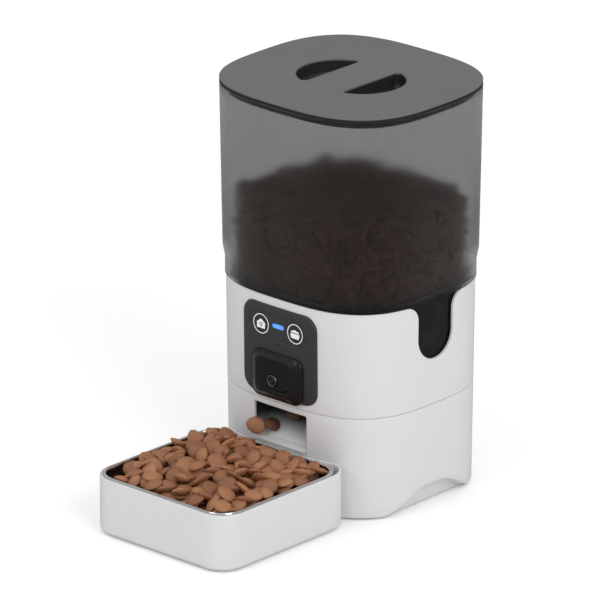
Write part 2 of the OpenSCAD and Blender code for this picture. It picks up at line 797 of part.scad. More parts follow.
module hopper_funnel() in_frame() color("#232528") {
  difference() {
    union() {
      translate([0, 0, chamber_z + 6]) linear_extrude(shell_top - chamber_z - 8) skirt_outline(0);
      slab(shell_inset(chamber_z) + wall + 1, shell_top - 5, 5 + seam_gap - skin);
    }
    translate([0, 0, chamber_z]) linear_extrude(shell_top - chamber_z - 7) skirt_outline(tube_t);
    slab(flange_inset + tube_t / 2, shell_top - 8, 20);
  }
  difference() {
    union() {
      hull() {
        slab(flange_inset, shell_top + seam_gap - 0.6, 0.5);
        translate([0, 0, throat_z]) cylinder(r = chamber_r + tube_t, h = skin, $fn = hull_fn * 2);
      }
      translate([0, 0, chamber_z]) cylinder(r = chamber_r + tube_t, h = chamber_h + skin);
    }
    hull() {
      slab(flange_inset + tube_t, shell_top + seam_gap + skin, skin);
      translate([0, 0, throat_z]) cylinder(r = chamber_r, h = skin, $fn = hull_fn * 2);
    }
    translate([0, 0, chamber_z - over]) cylinder(r = chamber_r, h = chamber_h + 2 * over);
    for (x = [-1, 1])
      rotate(x * 60) box([-4, -chamber_r - 5, throat_z - 1.5], [4, -chamber_r + 3, throat_z + 1]);
  }
}

module rotor_floor() in_frame() color("#2b2d30") difference() {
  translate([0, 0, chamber_z - floor_t]) cylinder(r = chamber_r + tube_t, h = floor_t);
  cylinder(r = dog_hole_r, h = body_h);
  intersection() {
    box([-chute_w / 2 + 1, -chamber_r, 0], [chute_w / 2 - 1, -outlet_rear - 1, body_h]);
    cylinder(r = chamber_r - 1.5, h = body_h);
  }
}

module rotor() in_frame() color("gray") translate([0, 0, dog_z]) difference() {
  union() {
    cylinder(r = hub_r, h = chamber_h - 4);
    translate([0, 0, chamber_h - 4]) cylinder(r1 = hub_r, r2 = 4, h = 14);
    for (i = [0 : vanes - 1])
      rotate(360 * (i + 0.5) / vanes)
        translate([0, -vane_t / 2, 0]) cube([chamber_r - 1.5, vane_t, chamber_h - 4]);
  }
  translate([0, 0, -over]) dog(dog_fit, dog_h + over + 0.8);
}

module outlet_guard() in_frame() color("#2b2d30") intersection() {
  translate([0, 0, throat_z - 2.4]) cylinder(r = chamber_r - 0.5, h = 2.4);
  box([-body_w, -body_d, 0], [body_w, -hub_r - 5, body_h]);
}

module rotor_wiper() in_frame() color("dimgray")
  box([-chamber_r + 12, -hub_r - 5 + skin, throat_z - 3.2], [chamber_r - 12, -hub_r - 3, throat_z + 2]);

// Half-moon finger recess on the right, grown by a wall
module moon(grow, z, h) {
  intersection() {
    translate([moon_x, 0, z]) cylinder(r = moon_r + grow, h = h);
    box([bar_x - grow, -body_d, z], [body_w, body_d, z + h]);
  }
}

module lid_plate() in_frame() color("#4a4c4f") difference() {
  slab(0, lid_z, lid_t);
  for (side = [0, 180])
    rotate(side) moon(0, lid_z - over, lid_t + 2 * over);
}

module lid_grip_pan() in_frame() color("#2e3033") difference() {
  union() {
    box([-bar_x, -moon_r + 6, lid_z - 1.6], [bar_x, moon_r - 6, lid_z - skin]);
    for (side = [0, 180])
      rotate(side) moon(1.6, lid_z - moon_depth, moon_depth - skin);
  }
  for (side = [0, 180])
    rotate(side) moon(0, lid_z - moon_depth + 1.6, moon_depth);
}

module lid_frame() in_frame() color("#1d1f21") difference() {
  slab(tank_wall + 1.6, lid_z - plug_h, plug_h - skin);
  slab(tank_wall + 1.6 + plug_t, lid_z - plug_h - over, plug_h + 2 * over);
  difference() {
    slab(tank_wall, lid_z - plug_h + 2, 3);
    slab(tank_wall + 2.6, lid_z - plug_h + 1, 5);
  }
}

module lid_seal() in_frame() color("black") difference() {
  slab(tank_wall + 0.9, lid_z - plug_h + 2.1, 2.8);
  slab(tank_wall + 2.6 - skin, lid_z - plug_h, 8);
}

module desiccant_box() in_frame() color("#3a3c40") difference() {
  box([-15, -moon_r + 8, lid_z - 18], [15, moon_r - 8, lid_z - 1.8]);
  box([-13.6, -moon_r + 9.4, lid_z - 16.6], [13.6, moon_r - 9.4, lid_z]);
  for (i = [-3 : 3])
    translate([0, 6 * i, lid_z - 18]) cube([20, 2, 6], center = true);
}

module desiccant_bag() in_frame() color("ivory")
  box([-12.6, -moon_r + 10.4, lid_z - 16.4], [12.6, moon_r - 10.4, lid_z - 6]);

// Outline of the tray, cut to follow the tower's front
module tray_outline(inward) {
  difference() {
    translate([0, (tray_front + tray_corner_rear) / 2])
      rounded(tray_w - 2 * inward, tray_corner_rear - tray_front - 2 * inward, tray_r - inward);
    outline(shell_inset(tray_h) - tray_gap - inward);
  }
}

module bowl_tray() in_frame() color("whitesmoke") {
  difference() {
    translate([0, 0, foot_gap]) linear_extrude(tray_h - foot_gap) tray_outline(0);
    translate([0, 0, foot_gap + tray_floor]) linear_extrude(tray_h) tray_outline(tray_wall);
  }
  for (x = [-1, 1])
    translate([x * tab_x - tab_w / 2, -body_d / 2 + shell_inset(tray_h) - tray_gap - tray_wall / 2, tab_z - tab_t / 2])
      cube([tab_w, tab_reach, tab_t]);
}

module tray_feet() in_frame() color("dimgray")
  for (x = [-1, 1], y = [tray_front + 18, tray_corner_rear - 24])
    translate([x * (tray_w / 2 - 20), y, 0]) cylinder(r = 5, h = foot_gap);

module bowl_slice(inward, z) {
  translate([0, bowl_mid, z]) linear_extrude(skin)
    rounded(bowl_w - 2 * inward, bowl_len - 2 * inward, bowl_r - rim_w + 4, $fn = hull_fn);
}

module steel_bowl() in_frame() color("silver") {
  difference() {
    union() {
      translate([0, bowl_mid, tray_h + bowl_lift]) linear_extrude(steel_t) rounded(bowl_w, bowl_len, bowl_r);
      hull() {
        bowl_slice(rim_w - steel_t, tray_h + bowl_lift);
        bowl_slice(rim_w + bowl_draft - steel_t, tray_h - bowl_depth);
      }
    }
    hull() {
      bowl_slice(rim_w, tray_h + bowl_lift + 2 * steel_t);
      bowl_slice(rim_w + bowl_draft, tray_h - bowl_depth + steel_t);
    }
  }
}

lower_shell();
upper_shell();
base_plate();
rubber_feet();
base_screws();
battery_box();
battery_contacts();
battery_cells();
battery_cover();
deck_plate();
chute();
chute_sensors();
gearbox_case();
gearbox_cover();
gearbox_screws();
motor();
pinion();
drive_gear();
drive_coupler();
main_board();
board_components();
board_screws();
speaker();
power_inlet();
control_panel();
panel_board();
button_switches();
wifi_button();
feed_button();
led_lens();
camera_housing();
camera_window();
camera_lens();
camera_board();
hopper();
hopper_funnel();
rotor_floor();
rotor();
outlet_guard();
rotor_wiper();
lid_plate();
lid_grip_pan();
lid_frame();
lid_seal();
desiccant_box();
desiccant_bag();
bowl_tray();
tray_feet();
steel_bowl();
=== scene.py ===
"""Looks of the automatic pet feeder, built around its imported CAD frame.

Every helper works in millimetres in the frame's own axes; a mesh is turned to metres once, when it
becomes an object.
"""

import json
import logging
import math
import random
from collections.abc import Callable, Sequence
from dataclasses import dataclass, field
from enum import Enum

import bmesh
import bpy
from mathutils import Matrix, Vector, noise

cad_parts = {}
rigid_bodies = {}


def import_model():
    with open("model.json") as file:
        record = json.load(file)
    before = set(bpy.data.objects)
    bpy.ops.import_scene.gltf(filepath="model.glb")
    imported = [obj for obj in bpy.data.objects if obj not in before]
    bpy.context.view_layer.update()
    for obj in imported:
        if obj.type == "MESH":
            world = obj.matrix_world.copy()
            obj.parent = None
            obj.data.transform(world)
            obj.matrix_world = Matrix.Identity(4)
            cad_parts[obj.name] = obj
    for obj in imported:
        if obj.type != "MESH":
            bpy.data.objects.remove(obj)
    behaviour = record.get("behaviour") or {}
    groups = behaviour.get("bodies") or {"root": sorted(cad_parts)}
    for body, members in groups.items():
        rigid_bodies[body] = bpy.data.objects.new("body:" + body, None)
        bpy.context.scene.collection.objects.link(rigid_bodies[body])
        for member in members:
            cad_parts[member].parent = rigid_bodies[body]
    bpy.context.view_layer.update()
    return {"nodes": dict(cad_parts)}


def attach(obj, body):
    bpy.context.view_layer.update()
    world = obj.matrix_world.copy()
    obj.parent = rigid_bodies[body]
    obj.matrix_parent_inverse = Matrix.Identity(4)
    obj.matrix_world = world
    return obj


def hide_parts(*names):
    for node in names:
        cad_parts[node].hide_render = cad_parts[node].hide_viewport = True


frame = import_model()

MM = 0.001
LOG = logging.getLogger("feeder")

Point2 = tuple[float, float]
Outline = Callable[[float], list[Point2]]
Surface = Callable[[float, float, float], Vector]


# ---------------------------------------------------------------- shader tools


class Tree:
    """Short calls for building a node tree."""

    def __init__(self, tree: bpy.types.NodeTree) -> None:
        """Wraps a node tree.

        Args:
            tree: The material's, group's or world's tree.
        """
        self.tree = tree

    def add(self, kind: str, inputs: dict | None = None, **settings: object) -> bpy.types.Node:
        """Adds a node.

        Args:
            kind: The node's type name.
            inputs: Values or sockets by input name or index.
            settings: Plain properties of the node.

        Returns:
            The new node.
        """
        node = self.tree.nodes.new(kind)
        for key, value in settings.items():
            setattr(node, key, value)
        for key, value in (inputs or {}).items():
            if isinstance(value, bpy.types.NodeSocket):
                self.tree.links.new(value, node.inputs[key])
            else:
                node.inputs[key].default_value = value
        return node

    def math(self, operation: str, a: object, b: object = 0.0, clamp: bool = False) -> bpy.types.NodeSocket:
        """Adds a Math node and returns its result."""
        return self.add("ShaderNodeMath", {0: a, 1: b}, operation=operation, use_clamp=clamp).outputs[0]

    def mix(self, factor: object, a: object, b: object) -> bpy.types.NodeSocket:
        """Adds a colour Mix node and returns its result."""
        node = self.add("ShaderNodeMix", {0: factor}, data_type="RGBA")
        for socket, value in ((node.inputs[6], a), (node.inputs[7], b)):
            if isinstance(value, bpy.types.NodeSocket):
                self.tree.links.new(value, socket)
            else:
                socket.default_value = value
        return node.outputs[2]


def new_group(
    name: str, inputs: dict[str, tuple[str, float]], outputs: dict[str, str]
) -> tuple[Tree, bpy.types.Node, bpy.types.Node]:
    """Makes an empty shader node group.

    Args:
        name: The group's name.
        inputs: Socket type and default value by input name.
        outputs: Socket type by output name.

    Returns:
        The group's tree, its input node and its output node.
    """
    group = bpy.data.node_groups.new(name, "ShaderNodeTree")
    for label, (kind, value) in inputs.items():
        socket = group.interface.new_socket(label, in_out="INPUT", socket_type=kind)
        if kind == "NodeSocketFloat":
            socket.default_value = value
    for label, kind in outputs.items():
        group.interface.new_socket(label, in_out="OUTPUT", socket_type=kind)
    tree = Tree(group)
    return tree, tree.add("NodeGroupInput"), tree.add("NodeGroupOutput")


FLOAT = "NodeSocketFloat"
VECTOR = "NodeSocketVector"


class Effects:
    """Shader groups that several finishes share."""

    def __init__(self) -> None:
        """Builds every group once."""
        self.grain = self._grain()
        self.wear = self._wear()
        self.film = self._film()
        self.brushing = self._brushing()

    @staticmethod
    def _grain() -> bpy.types.NodeTree:
        """Fine spark-eroded mould texture with a slow swell, as a height."""
        tree, given, made = new_group(
            "mould_grain", {
                "Vector": (VECTOR, 0.0), "Grain per metre": (FLOAT, 1800.0)
            }, {"Height": FLOAT, "Speckle": FLOAT}
        )
        fine = tree.add(
            "ShaderNodeTexNoise",
            {"Vector": given.outputs[0], "Scale": given.outputs[1], "Detail": 2.0, "Roughness": 0.6},
        )
        pits = tree.add("ShaderNodeTexVoronoi", {"Vector": given.outputs[0], "Scale": given.outputs[1]})
        both = tree.math("MULTIPLY_ADD", pits.outputs["Distance"], 0.45)
        both.node.inputs[2].default_value = 0.0
        tree.tree.links.new(fine.outputs["Fac"], both.node.inputs[2])
        tree.tree.links.new(both, made.inputs["Height"])
        tree.tree.links.new(fine.outputs["Fac"], made.inputs["Speckle"])
        return tree.tree

    @staticmethod
    def _wear() -> bpy.types.NodeTree:
        """Mask of rubbed edges and corners, broken up by noise."""
        tree, given, made = new_group(
            "edge_wear", {"Vector": (VECTOR, 0.0), "Amount": (FLOAT, 0.5)}, {"Mask": FLOAT}
        )
        edges = tree.add("ShaderNodeNewGeometry").outputs["Pointiness"]
        edge = tree.add("ShaderNodeMapRange", {"Value": edges, "From Min": 0.52, "From Max": 0.6}).outputs[0]
        patches = tree.add("ShaderNodeTexNoise", {"Vector": given.outputs[0], "Scale": 60.0, "Detail": 4.0})
        broken = tree.add(
            "ShaderNodeMapRange", {"Value": patches.outputs["Fac"], "From Min": 0.42, "From Max": 0.7}
        ).outputs[0]
        mask = tree.math("MULTIPLY", tree.math("MULTIPLY", edge, broken), given.outputs[1], clamp=True)
        tree.tree.links.new(mask, made.inputs["Mask"])
        return tree.tree

    @staticmethod
    def _film() -> bpy.types.NodeTree:
        """Mask of dust and handling marks: broad clouds and finer smears."""
        tree, given, made = new_group(
            "handling_film", {"Vector": (VECTOR, 0.0), "Scale": (FLOAT, 9.0)}, {"Mask": FLOAT, "Cloud": FLOAT}
        )
        cloud = tree.add(
            "ShaderNodeTexNoise",
            {"Vector": given.outputs[0], "Scale": given.outputs[1], "Detail": 5.0, "Roughness": 0.55},
        )
        smear_scale = tree.math("MULTIPLY", given.outputs[1], 7.0)
        smear = tree.add(
            "ShaderNodeTexNoise",
            {"Vector": given.outputs[0], "Scale": smear_scale, "Detail": 3.0, "Distortion": 1.2},
        )
        mask = tree.math("MULTIPLY", cloud.outputs["Fac"], smear.outputs["Fac"])
        tree.tree.links.new(tree.math("MULTIPLY", mask, 2.2, clamp=True), made.inputs["Mask"])
        tree.tree.links.new(cloud.outputs["Fac"], made.inputs["Cloud"])
        return tree.tree

    @staticmethod
    def _brushing() -> bpy.types.NodeTree:
        """Fine parallel polishing lines along X, as a height and a mask."""
        tree, given, made = new_group(
            "polishing_lines", {"Vector": (VECTOR, 0.0), "Lines per metre": (FLOAT, 900.0)}, {"Height": FLOAT}
        )
        stretch = tree.add("ShaderNodeMapping", {"Vector": given.outputs[0]})
        stretch.inputs["Scale"].default_value = (0.02, 1.0, 1.0)
        lines = tree.add(
            "ShaderNodeTexNoise", {"Vector": stretch.outputs[0], "Scale": given.outputs[1], "Detail": 2.0}
        )
        tree.tree.links.new(lines.outputs["Fac"], made.inputs["Height"])
        return tree.tree


EFFECTS = Effects()


def grey(value: float) -> tuple[float, float, float, float]:
    """Opaque grey of a linear value."""
    return (value, value, value, 1.0)


@dataclass(frozen=True)
class Finish:
    """A procedural finish, for moulded plastic, rubber, metal and paint.

    The base colour drifts with a handling film, lightens at rubbed edges and carries a mould grain. Where a
    height band is given, it paints shade: the colour darkens towards a shade colour between two heights.
    """

    name: str
    slot: str
    colour: tuple[float, float, float]
    roughness: float = 0.4
    metallic: float = 0.0
    coat: float = 0.0
    grain: float = 1800.0
    grain_depth: float = 0.04
    film: float = 0.06
    wear: float = 0.4
    wear_colour: tuple[float, float, float] = (0.9, 0.9, 0.9)
    brushed: float = 0.0
    specular: float = 0.5
    # Painted shade: between these two heights, in millimetres, the base colour darkens to the colour below,
    # standing in for shade that falls inside the part.
    painted_shade_heights: tuple[float, float] | None = None
    painted_shade_colour: tuple[float, float, float] = (0.02, 0.02, 0.02)

    def build(self) -> bpy.types.Material:
        """Makes the material, or returns it if it is there already."""
        made = bpy.data.materials.get(self.name)
        if made:
            return made
        made = bpy.data.materials.new(self.name)
        made.use_nodes = True
        tree = Tree(made.node_tree)
        shader = made.node_tree.nodes["Principled BSDF"]
        place = tree.add("ShaderNodeTexCoord").outputs["Object"]
        film = tree.add("ShaderNodeGroup", node_tree=EFFECTS.film)
        grain = tree.add("ShaderNodeGroup", node_tree=EFFECTS.grain)
        wear = tree.add("ShaderNodeGroup", node_tree=EFFECTS.wear)
        grain.inputs["Grain per metre"].default_value = self.grain
        film.inputs["Scale"].default_value = 9.0
        wear.inputs["Amount"].default_value = self.wear
        for group in (film, grain, wear):
            made.node_tree.links.new(place, group.inputs["Vector"])
        base = (*self.colour, 1.0)
        darker = (*(c * (1.0 - 2.2 * self.film) for c in self.colour), 1.0)
        tinted = tree.mix(film.outputs["Mask"], base, darker)
        wear_and_painted_shade = tree.mix(wear.outputs["Mask"], tinted, (*self.wear_colour, 1.0))
        # Painted shade: a smooth ramp over height mixes the base colour towards the shade colour.
        if self.painted_shade_heights:
            height_mm = tree.math("DIVIDE", tree.add("ShaderNodeSeparateXYZ", {0: place}).outputs["Z"], MM)
            depth = tree.add(
                "ShaderNodeMapRange",
                {"Value": height_mm, "From Min": self.painted_shade_heights[0], "From Max": self.painted_shade_heights[1]},
                interpolation_type="SMOOTHSTEP",
            )
            wear_and_painted_shade = tree.mix(depth.outputs[0], wear_and_painted_shade, (*self.painted_shade_colour, 1.0))
        made.node_tree.links.new(wear_and_painted_shade, shader.inputs["Base Color"])
        shader.inputs["Specular IOR Level"].default_value = self.specular
        rough = tree.add(
            "ShaderNodeMapRange",
            {"Value": film.outputs["Cloud"], "From Min": 0.3, "From Max": 0.7,
             "To Min": self.roughness * 0.88, "To Max": min(1.0, self.roughness * 1.14)},
        )
        made.node_tree.links.new(rough.outputs[0], shader.inputs["Roughness"])
        shader.inputs["Metallic"].default_value = self.metallic
        shader.inputs["Coat Weight"].default_value = self.coat
        shader.inputs["Coat Roughness"].default_value = 0.12
        height = grain.outputs["Height"]
        if self.brushed:
            lines = tree.add("ShaderNodeGroup", node_tree=EFFECTS.brushing)
            lines.inputs["Lines per metre"].default_value = self.brushed
            made.node_tree.links.new(place, lines.inputs["Vector"])
            height = lines.outputs["Height"]
        bump = tree.add(
            "ShaderNodeBump", {"Height": height, "Strength": 0.35, "Distance": self.grain_depth * MM}
        )
        made.node_tree.links.new(bump.outputs[0], shader.inputs["Normal"])
        return made


@dataclass(frozen=True)
class SmokedPlastic:
    """Frosted smoke-tinted clear plastic of the food tank."""

    name: str = "smoked_frosted_plastic"
    slot: str = "smoke_clear"
    tint: tuple[float, float, float] = (0.42, 0.42, 0.42)
    roughness: float = 0.19

    def build(self) -> bpy.types.Material:
        """Makes the material, or returns it if it is there already."""
        made = bpy.data.materials.get(self.name)
        if made:
            return made
        made = bpy.data.materials.new(self.name)
        made.use_nodes = True
        tree = Tree(made.node_tree)
        shader = made.node_tree.nodes["Principled BSDF"]
        place = tree.add("ShaderNodeTexCoord").outputs["Object"]
        film = tree.add("ShaderNodeGroup", node_tree=EFFECTS.film)
        grain = tree.add("ShaderNodeGroup", node_tree=EFFECTS.grain)
        grain.inputs["Grain per metre"].default_value = 900.0
        for group in (film, grain):
            made.node_tree.links.new(place, group.inputs["Vector"])
        paler = tuple(min(1.0, c * 1.06) for c in self.tint)
        tint = tree.mix(film.outputs["Mask"], (*self.tint, 1.0), (*paler, 1.0))
        made.node_tree.links.new(tint, shader.inputs["Base Color"])
        rough = tree.add(
            "ShaderNodeMapRange",
            {"Value": film.outputs["Cloud"], "From Min": 0.3, "From Max": 0.7,
             "To Min": self.roughness * 0.92, "To Max": self.roughness * 1.08},
        )
        made.node_tree.links.new(rough.outputs[0], shader.inputs["Roughness"])
        shader.inputs["Transmission Weight"].default_value = 1.0
        shader.inputs["IOR"].default_value = 1.3
        bump = tree.add(
            "ShaderNodeBump", {"Height": grain.outputs["Height"], "Strength": 0.12, "Distance": 0.05 * MM}
        )
        made.node_tree.links.new(bump.outputs[0], shader.inputs["Normal"])
        return made


@dataclass(frozen=True)
class BakedKibble:
    """Dry baked food: warm brown, mottled and pitted, a little different on each piece."""

    name: str = "baked_kibble"
    slot: str = ""
    light: tuple[float, float, float] = (0.44, 0.200, 0.092)
    dark: tuple[float, float, float] = (0.20, 0.073, 0.029)

    def build(self) -> bpy.types.Material:
        """Makes the material, or returns it if it is there already."""
        made = bpy.data.materials.get(self.name)
        if made:
            return made
        made = bpy.data.materials.new(self.name)
        made.use_nodes = True
        tree = Tree(made.node_tree)
        shader = made.node_tree.nodes["Principled BSDF"]
        place = tree.add("ShaderNodeTexCoord").outputs["Object"]
        tone = tree.add("ShaderNodeAttribute", attribute_name="tone").outputs["Fac"]
        mottle = tree.add(
            "ShaderNodeTexNoise", {"Vector": place, "Scale": 140.0, "Detail": 5.0, "Roughness": 0.65}
        )
        pits = tree.add("ShaderNodeTexVoronoi", {"Vector": place, "Scale": 900.0})
        amount = tree.math(
            "ADD", tree.math("MULTIPLY", tone, 0.6), tree.math("MULTIPLY", mottle.outputs["Fac"], 0.55)
        )
        soft = tree.math("SUBTRACT", amount, 0.12, clamp=True)
        colour = tree.mix(soft, (*self.dark, 1.0), (*self.light, 1.0))
        made.node_tree.links.new(colour, shader.inputs["Base Color"])
        rough = tree.math("MULTIPLY_ADD", mottle.outputs["Fac"], 0.25)
        rough.node.inputs[2].default_value = 0.5
        made.node_tree.links.new(rough, shader.inputs["Roughness"])
        height = tree.math(
            "ADD",
            tree.math("MULTIPLY", mottle.outputs["Fac"], 1.0),
            tree.math("MULTIPLY", pits.outputs["Distance"], 0.5),
        )
        bump = tree.add("ShaderNodeBump", {"Height": height, "Strength": 0.6, "Distance": 0.35 * MM})
        made.node_tree.links.new(bump.outputs[0], shader.inputs["Normal"])
        return made


@dataclass(frozen=True)
class LitDiffuser:
    """Status light: a blue diffuser that glows more in its middle."""

    name: str = "lit_blue_diffuser"
    slot: str = "led_blue"
    centre: Vector = field(default_factory=lambda: Vector((0, 0, 0)))

    def build(self) -> bpy.types.Material:
        """Makes the material, or returns it if it is there already."""
        made = bpy.data.materials.get(self.name)
        if made:
            return made
        made = bpy.data.materials.new(self.name)
        made.use_nodes = True
        tree = Tree(made.node_tree)
        shader = made.node_tree.nodes["Principled BSDF"]
        place = tree.add("ShaderNodeTexCoord").outputs["Object"]
        offset = tree.add(
            "ShaderNodeVectorMath", {0: place, 1: self.centre}, operation="DISTANCE"
        ).outputs["Value"]
        near = tree.add(
            "ShaderNodeMapRange",
            {"Value": offset, "From Min": 0.0, "From Max": 7 * MM, "To Min": 1.0, "To Max": 0.0},
        ).outputs[0]
        glow = tree.mix(near, (0.02, 0.2, 1.0, 1.0), (0.2, 0.55, 1.0, 1.0))
        made.node_tree.links.new(glow, shader.inputs["Emission Color"])
        shader.inputs["Emission Strength"].default_value = 0.55
        shader.inputs["Base Color"].default_value = (0.05, 0.2, 0.6, 1.0)
        shader.inputs["Roughness"].default_value = 0.25
        return made


class Look(Enum):
    """The object's finishes."""

    WHITE = Finish(
        "white_moulded_plastic",
        "white_shell",
        (0.635, 0.635, 0.635),
        roughness=0.38,
        grain_depth=0.012,
        film=0.012,
        wear=0.15,
    )
    BASE = Finish(
        "base_grey_plastic", "base_grey", (0.55, 0.56, 0.57), roughness=0.55, grain_depth=0.05, film=0.04
    )
    # The height band paints shade: the chute turns near black from 54 mm up to 70 mm, where its inner passage
    # lies in shadow.
    CHUTE = Finish(
        "chute_grey_plastic",
        "chute_grey",
        (0.6, 0.6, 0.6),
        roughness=0.3,
        grain_depth=0.01,
        film=0.03,
        painted_shade_heights=(54.0, 70.0),
    )
    LID = Finish(
        "lid_grey_plastic",
        "lid_grey",
        (0.126, 0.126, 0.127),
        roughness=0.46,
        grain_depth=0.03,
        film=0.03,
        wear=0.2,
        wear_colour=(0.3, 0.3, 0.31),
    )
    LID_DARK = Finish(
        "lid_dark_plastic",
        "lid_dark",
        (0.02, 0.0205, 0.022),
        roughness=0.42,
        grain_depth=0.03,
        wear=0.1,
        wear_colour=(0.1, 0.1, 0.1),
    )
    FUNNEL = Finish(
        "funnel_black_plastic",
        "funnel_black",
        (0.004, 0.004, 0.0045),
        roughness=0.45,
        specular=0.3,
        grain_depth=0.02,
        wear=0.1,
        wear_colour=(0.08, 0.08, 0.08),
    )
    PANEL = Finish(
        "panel_black_plastic",
        "panel_black",
        (0.034, 0.0342, 0.035),
        roughness=0.36,
        specular=0.4,
        grain_depth=0.012,
        film=0.03,
        wear=0.15,
        wear_colour=(0.12, 0.12, 0.12),
    )
    BUTTON = Finish(
        "button_black_plastic",
        "button_black",
        (0.024, 0.0242, 0.025),
        roughness=0.36,
        specular=0.4,
        grain_depth=0.012,
        film=0.03,
        wear=0.15,
        wear_colour=(0.12, 0.12, 0.12),
    )
    CAMERA = Finish(
        "camera_gloss_black",
        "camera_black",
        (0.005, 0.0052, 0.0058),
        roughness=0.24,
        coat=0.0,
        specular=0.4,
        grain_depth=0.004,
        film=0.02,
        wear=0.1,
        wear_colour=(0.1, 0.1, 0.1),
    )
    WINDOW = Finish(
        "camera_window_acrylic",
        "camera_window",
        (0.003, 0.0031, 0.0038),
        roughness=0.08,
        specular=0.35,
        grain_depth=0.0,
        film=0.0,
        wear=0.0,
    )
    LENS = Finish(
        "coated_lens_glass",
        "lens_glass",
        (0.004, 0.003, 0.008),
        roughness=0.04,
        specular=0.6,
        grain_depth=0.0,
        film=0.0,
        wear=0.0,
    )
    LENS_RING = Finish(
        "dark_chrome_lens_ring",
        "camera_black",
        (0.26, 0.26, 0.27),
        roughness=0.22,
        metallic=1.0,
        grain_depth=0.002,
        film=0.02,
        wear=0.0,
    )
    PRINT = Finish(
        "white_pad_print",
        "button_black",
        (0.86, 0.86, 0.86),
        roughness=0.6,
        grain_depth=0.01,
        film=0.02,
        wear=0.0,
    )
    # The height band paints shade: the bowl's steel darkens below the rim, from 48.1 mm down to 46.4 mm, as
    # the shade inside the basin.
    STEEL = Finish(
        "polished_bowl_steel",
        "bowl_steel",
        (0.80, 0.80, 0.81),
        roughness=0.16,
        metallic=1.0,
        brushed=1500.0,
        grain_depth=0.004,
        film=0.02,
        wear=0.0,
        painted_shade_heights=(48.1, 46.4),
        painted_shade_colour=(0.16, 0.155, 0.155),
    )
    SCREW = Finish(
        "zinc_screw", "screw_steel", (0.55, 0.55, 0.56), roughness=0.3, metallic=1.0, grain_depth=0.01
    )
    MOTOR = Finish(
        "motor_can_steel",
        "motor_steel",
        (0.5, 0.5, 0.52),
        roughness=0.35,
        metallic=1.0,
        brushed=700.0,
        grain_depth=0.01,
    )
    INNER = Finish("inner_grey_plastic", "inner_grey", (0.09, 0.093, 0.1), roughness=0.5)
    INNER_BLACK = Finish("inner_black_plastic", "inner_black", (0.014, 0.014, 0.016), roughness=0.4)
    GEAR = Finish("acetal_gear", "gear_white", (0.74, 0.73, 0.68), roughness=0.35, grain_depth=0.01)
    BOARD = Finish(
        "board_solder_mask",
        "board_green",
        (0.012, 0.09, 0.035),
        roughness=0.3,
        grain_depth=0.02,
        wear_colour=(0.3, 0.3, 0.1),
    )
    CELL = Finish(
        "cell_sleeve", "cell_jacket", (0.5, 0.25, 0.03), roughness=0.3, metallic=0.3, grain_depth=0.004
    )
    ROTOR = Finish("rotor_grey_plastic", "rotor_grey", (0.08, 0.083, 0.09), roughness=0.42)
    RUBBER = Finish(
        "grey_rubber",
        "rubber_grey",
        (0.03, 0.03, 0.032),
        roughness=0.8,
        grain_depth=0.06,
        film=0.08,
        wear=0.2,
        wear_colour=(0.12, 0.12, 0.12),
    )
    SEAL = Finish(
        "black_silicone", "rubber_black", (0.008, 0.008, 0.009), roughness=0.6, grain_depth=0.02, wear=0.0
    )
    BAG = Finish(
        "paper_bag", "bag_fabric", (0.68, 0.66, 0.6), roughness=0.9, grain=900.0, grain_depth=0.12, film=0.08
    )
    TANK = SmokedPlastic()
    KIBBLE = BakedKibble()
    # Painted shade: a darker copy of the kibble stands in for the shade on the food inside the smoked tank
    # and up in the chute.
    SHADED_KIBBLE = BakedKibble("baked_kibble_in_tank", "", (0.19, 0.076, 0.036), (0.065, 0.024, 0.011))

    def build(self) -> bpy.types.Material:
        """Makes the finish's material, or returns it if it is there already."""
        return self.value.build()


NODE_LOOKS: dict[str, Look] = {
    "base_plate": Look.BASE, "battery_cover": Look.BASE, "deck_plate": Look.BASE, "rubber_feet": Look.RUBBER,
    "tray_feet": Look.RUBBER, "rotor_wiper": Look.RUBBER, "base_screws": Look.SCREW,
    "gearbox_screws": Look.SCREW,
    "board_screws": Look.SCREW, "battery_contacts": Look.SCREW, "battery_box": Look.INNER,
    "gearbox_case": Look.INNER,
    "gearbox_cover": Look.INNER, "drive_coupler": Look.INNER, "battery_cells": Look.CELL, "chute": Look.CHUTE,
    "chute_sensors": Look.INNER_BLACK, "board_components": Look.INNER_BLACK, "speaker": Look.INNER_BLACK,
    "power_inlet": Look.INNER_BLACK, "motor": Look.MOTOR, "button_switches": Look.MOTOR, "pinion": Look.GEAR,
    "drive_gear": Look.GEAR, "main_board": Look.BOARD, "panel_board": Look.BOARD, "camera_board": Look.BOARD,
    "hopper_funnel": Look.FUNNEL, "rotor_floor": Look.FUNNEL, "outlet_guard": Look.FUNNEL,
    "rotor": Look.ROTOR, "lid_seal": Look.SEAL,
    "lid_frame": Look.LID_DARK, "desiccant_box": Look.LID_DARK, "desiccant_bag": Look.BAG,
}


def dress_nodes() -> None:
    """Gives every CAD node that stays visible its finish."""
    for name, look in NODE_LOOKS.items():
        mesh = frame["nodes"][name].data
        mesh.materials.clear()
        mesh.materials.append(look.build())


# ---------------------------------------------------------------- mesh tools


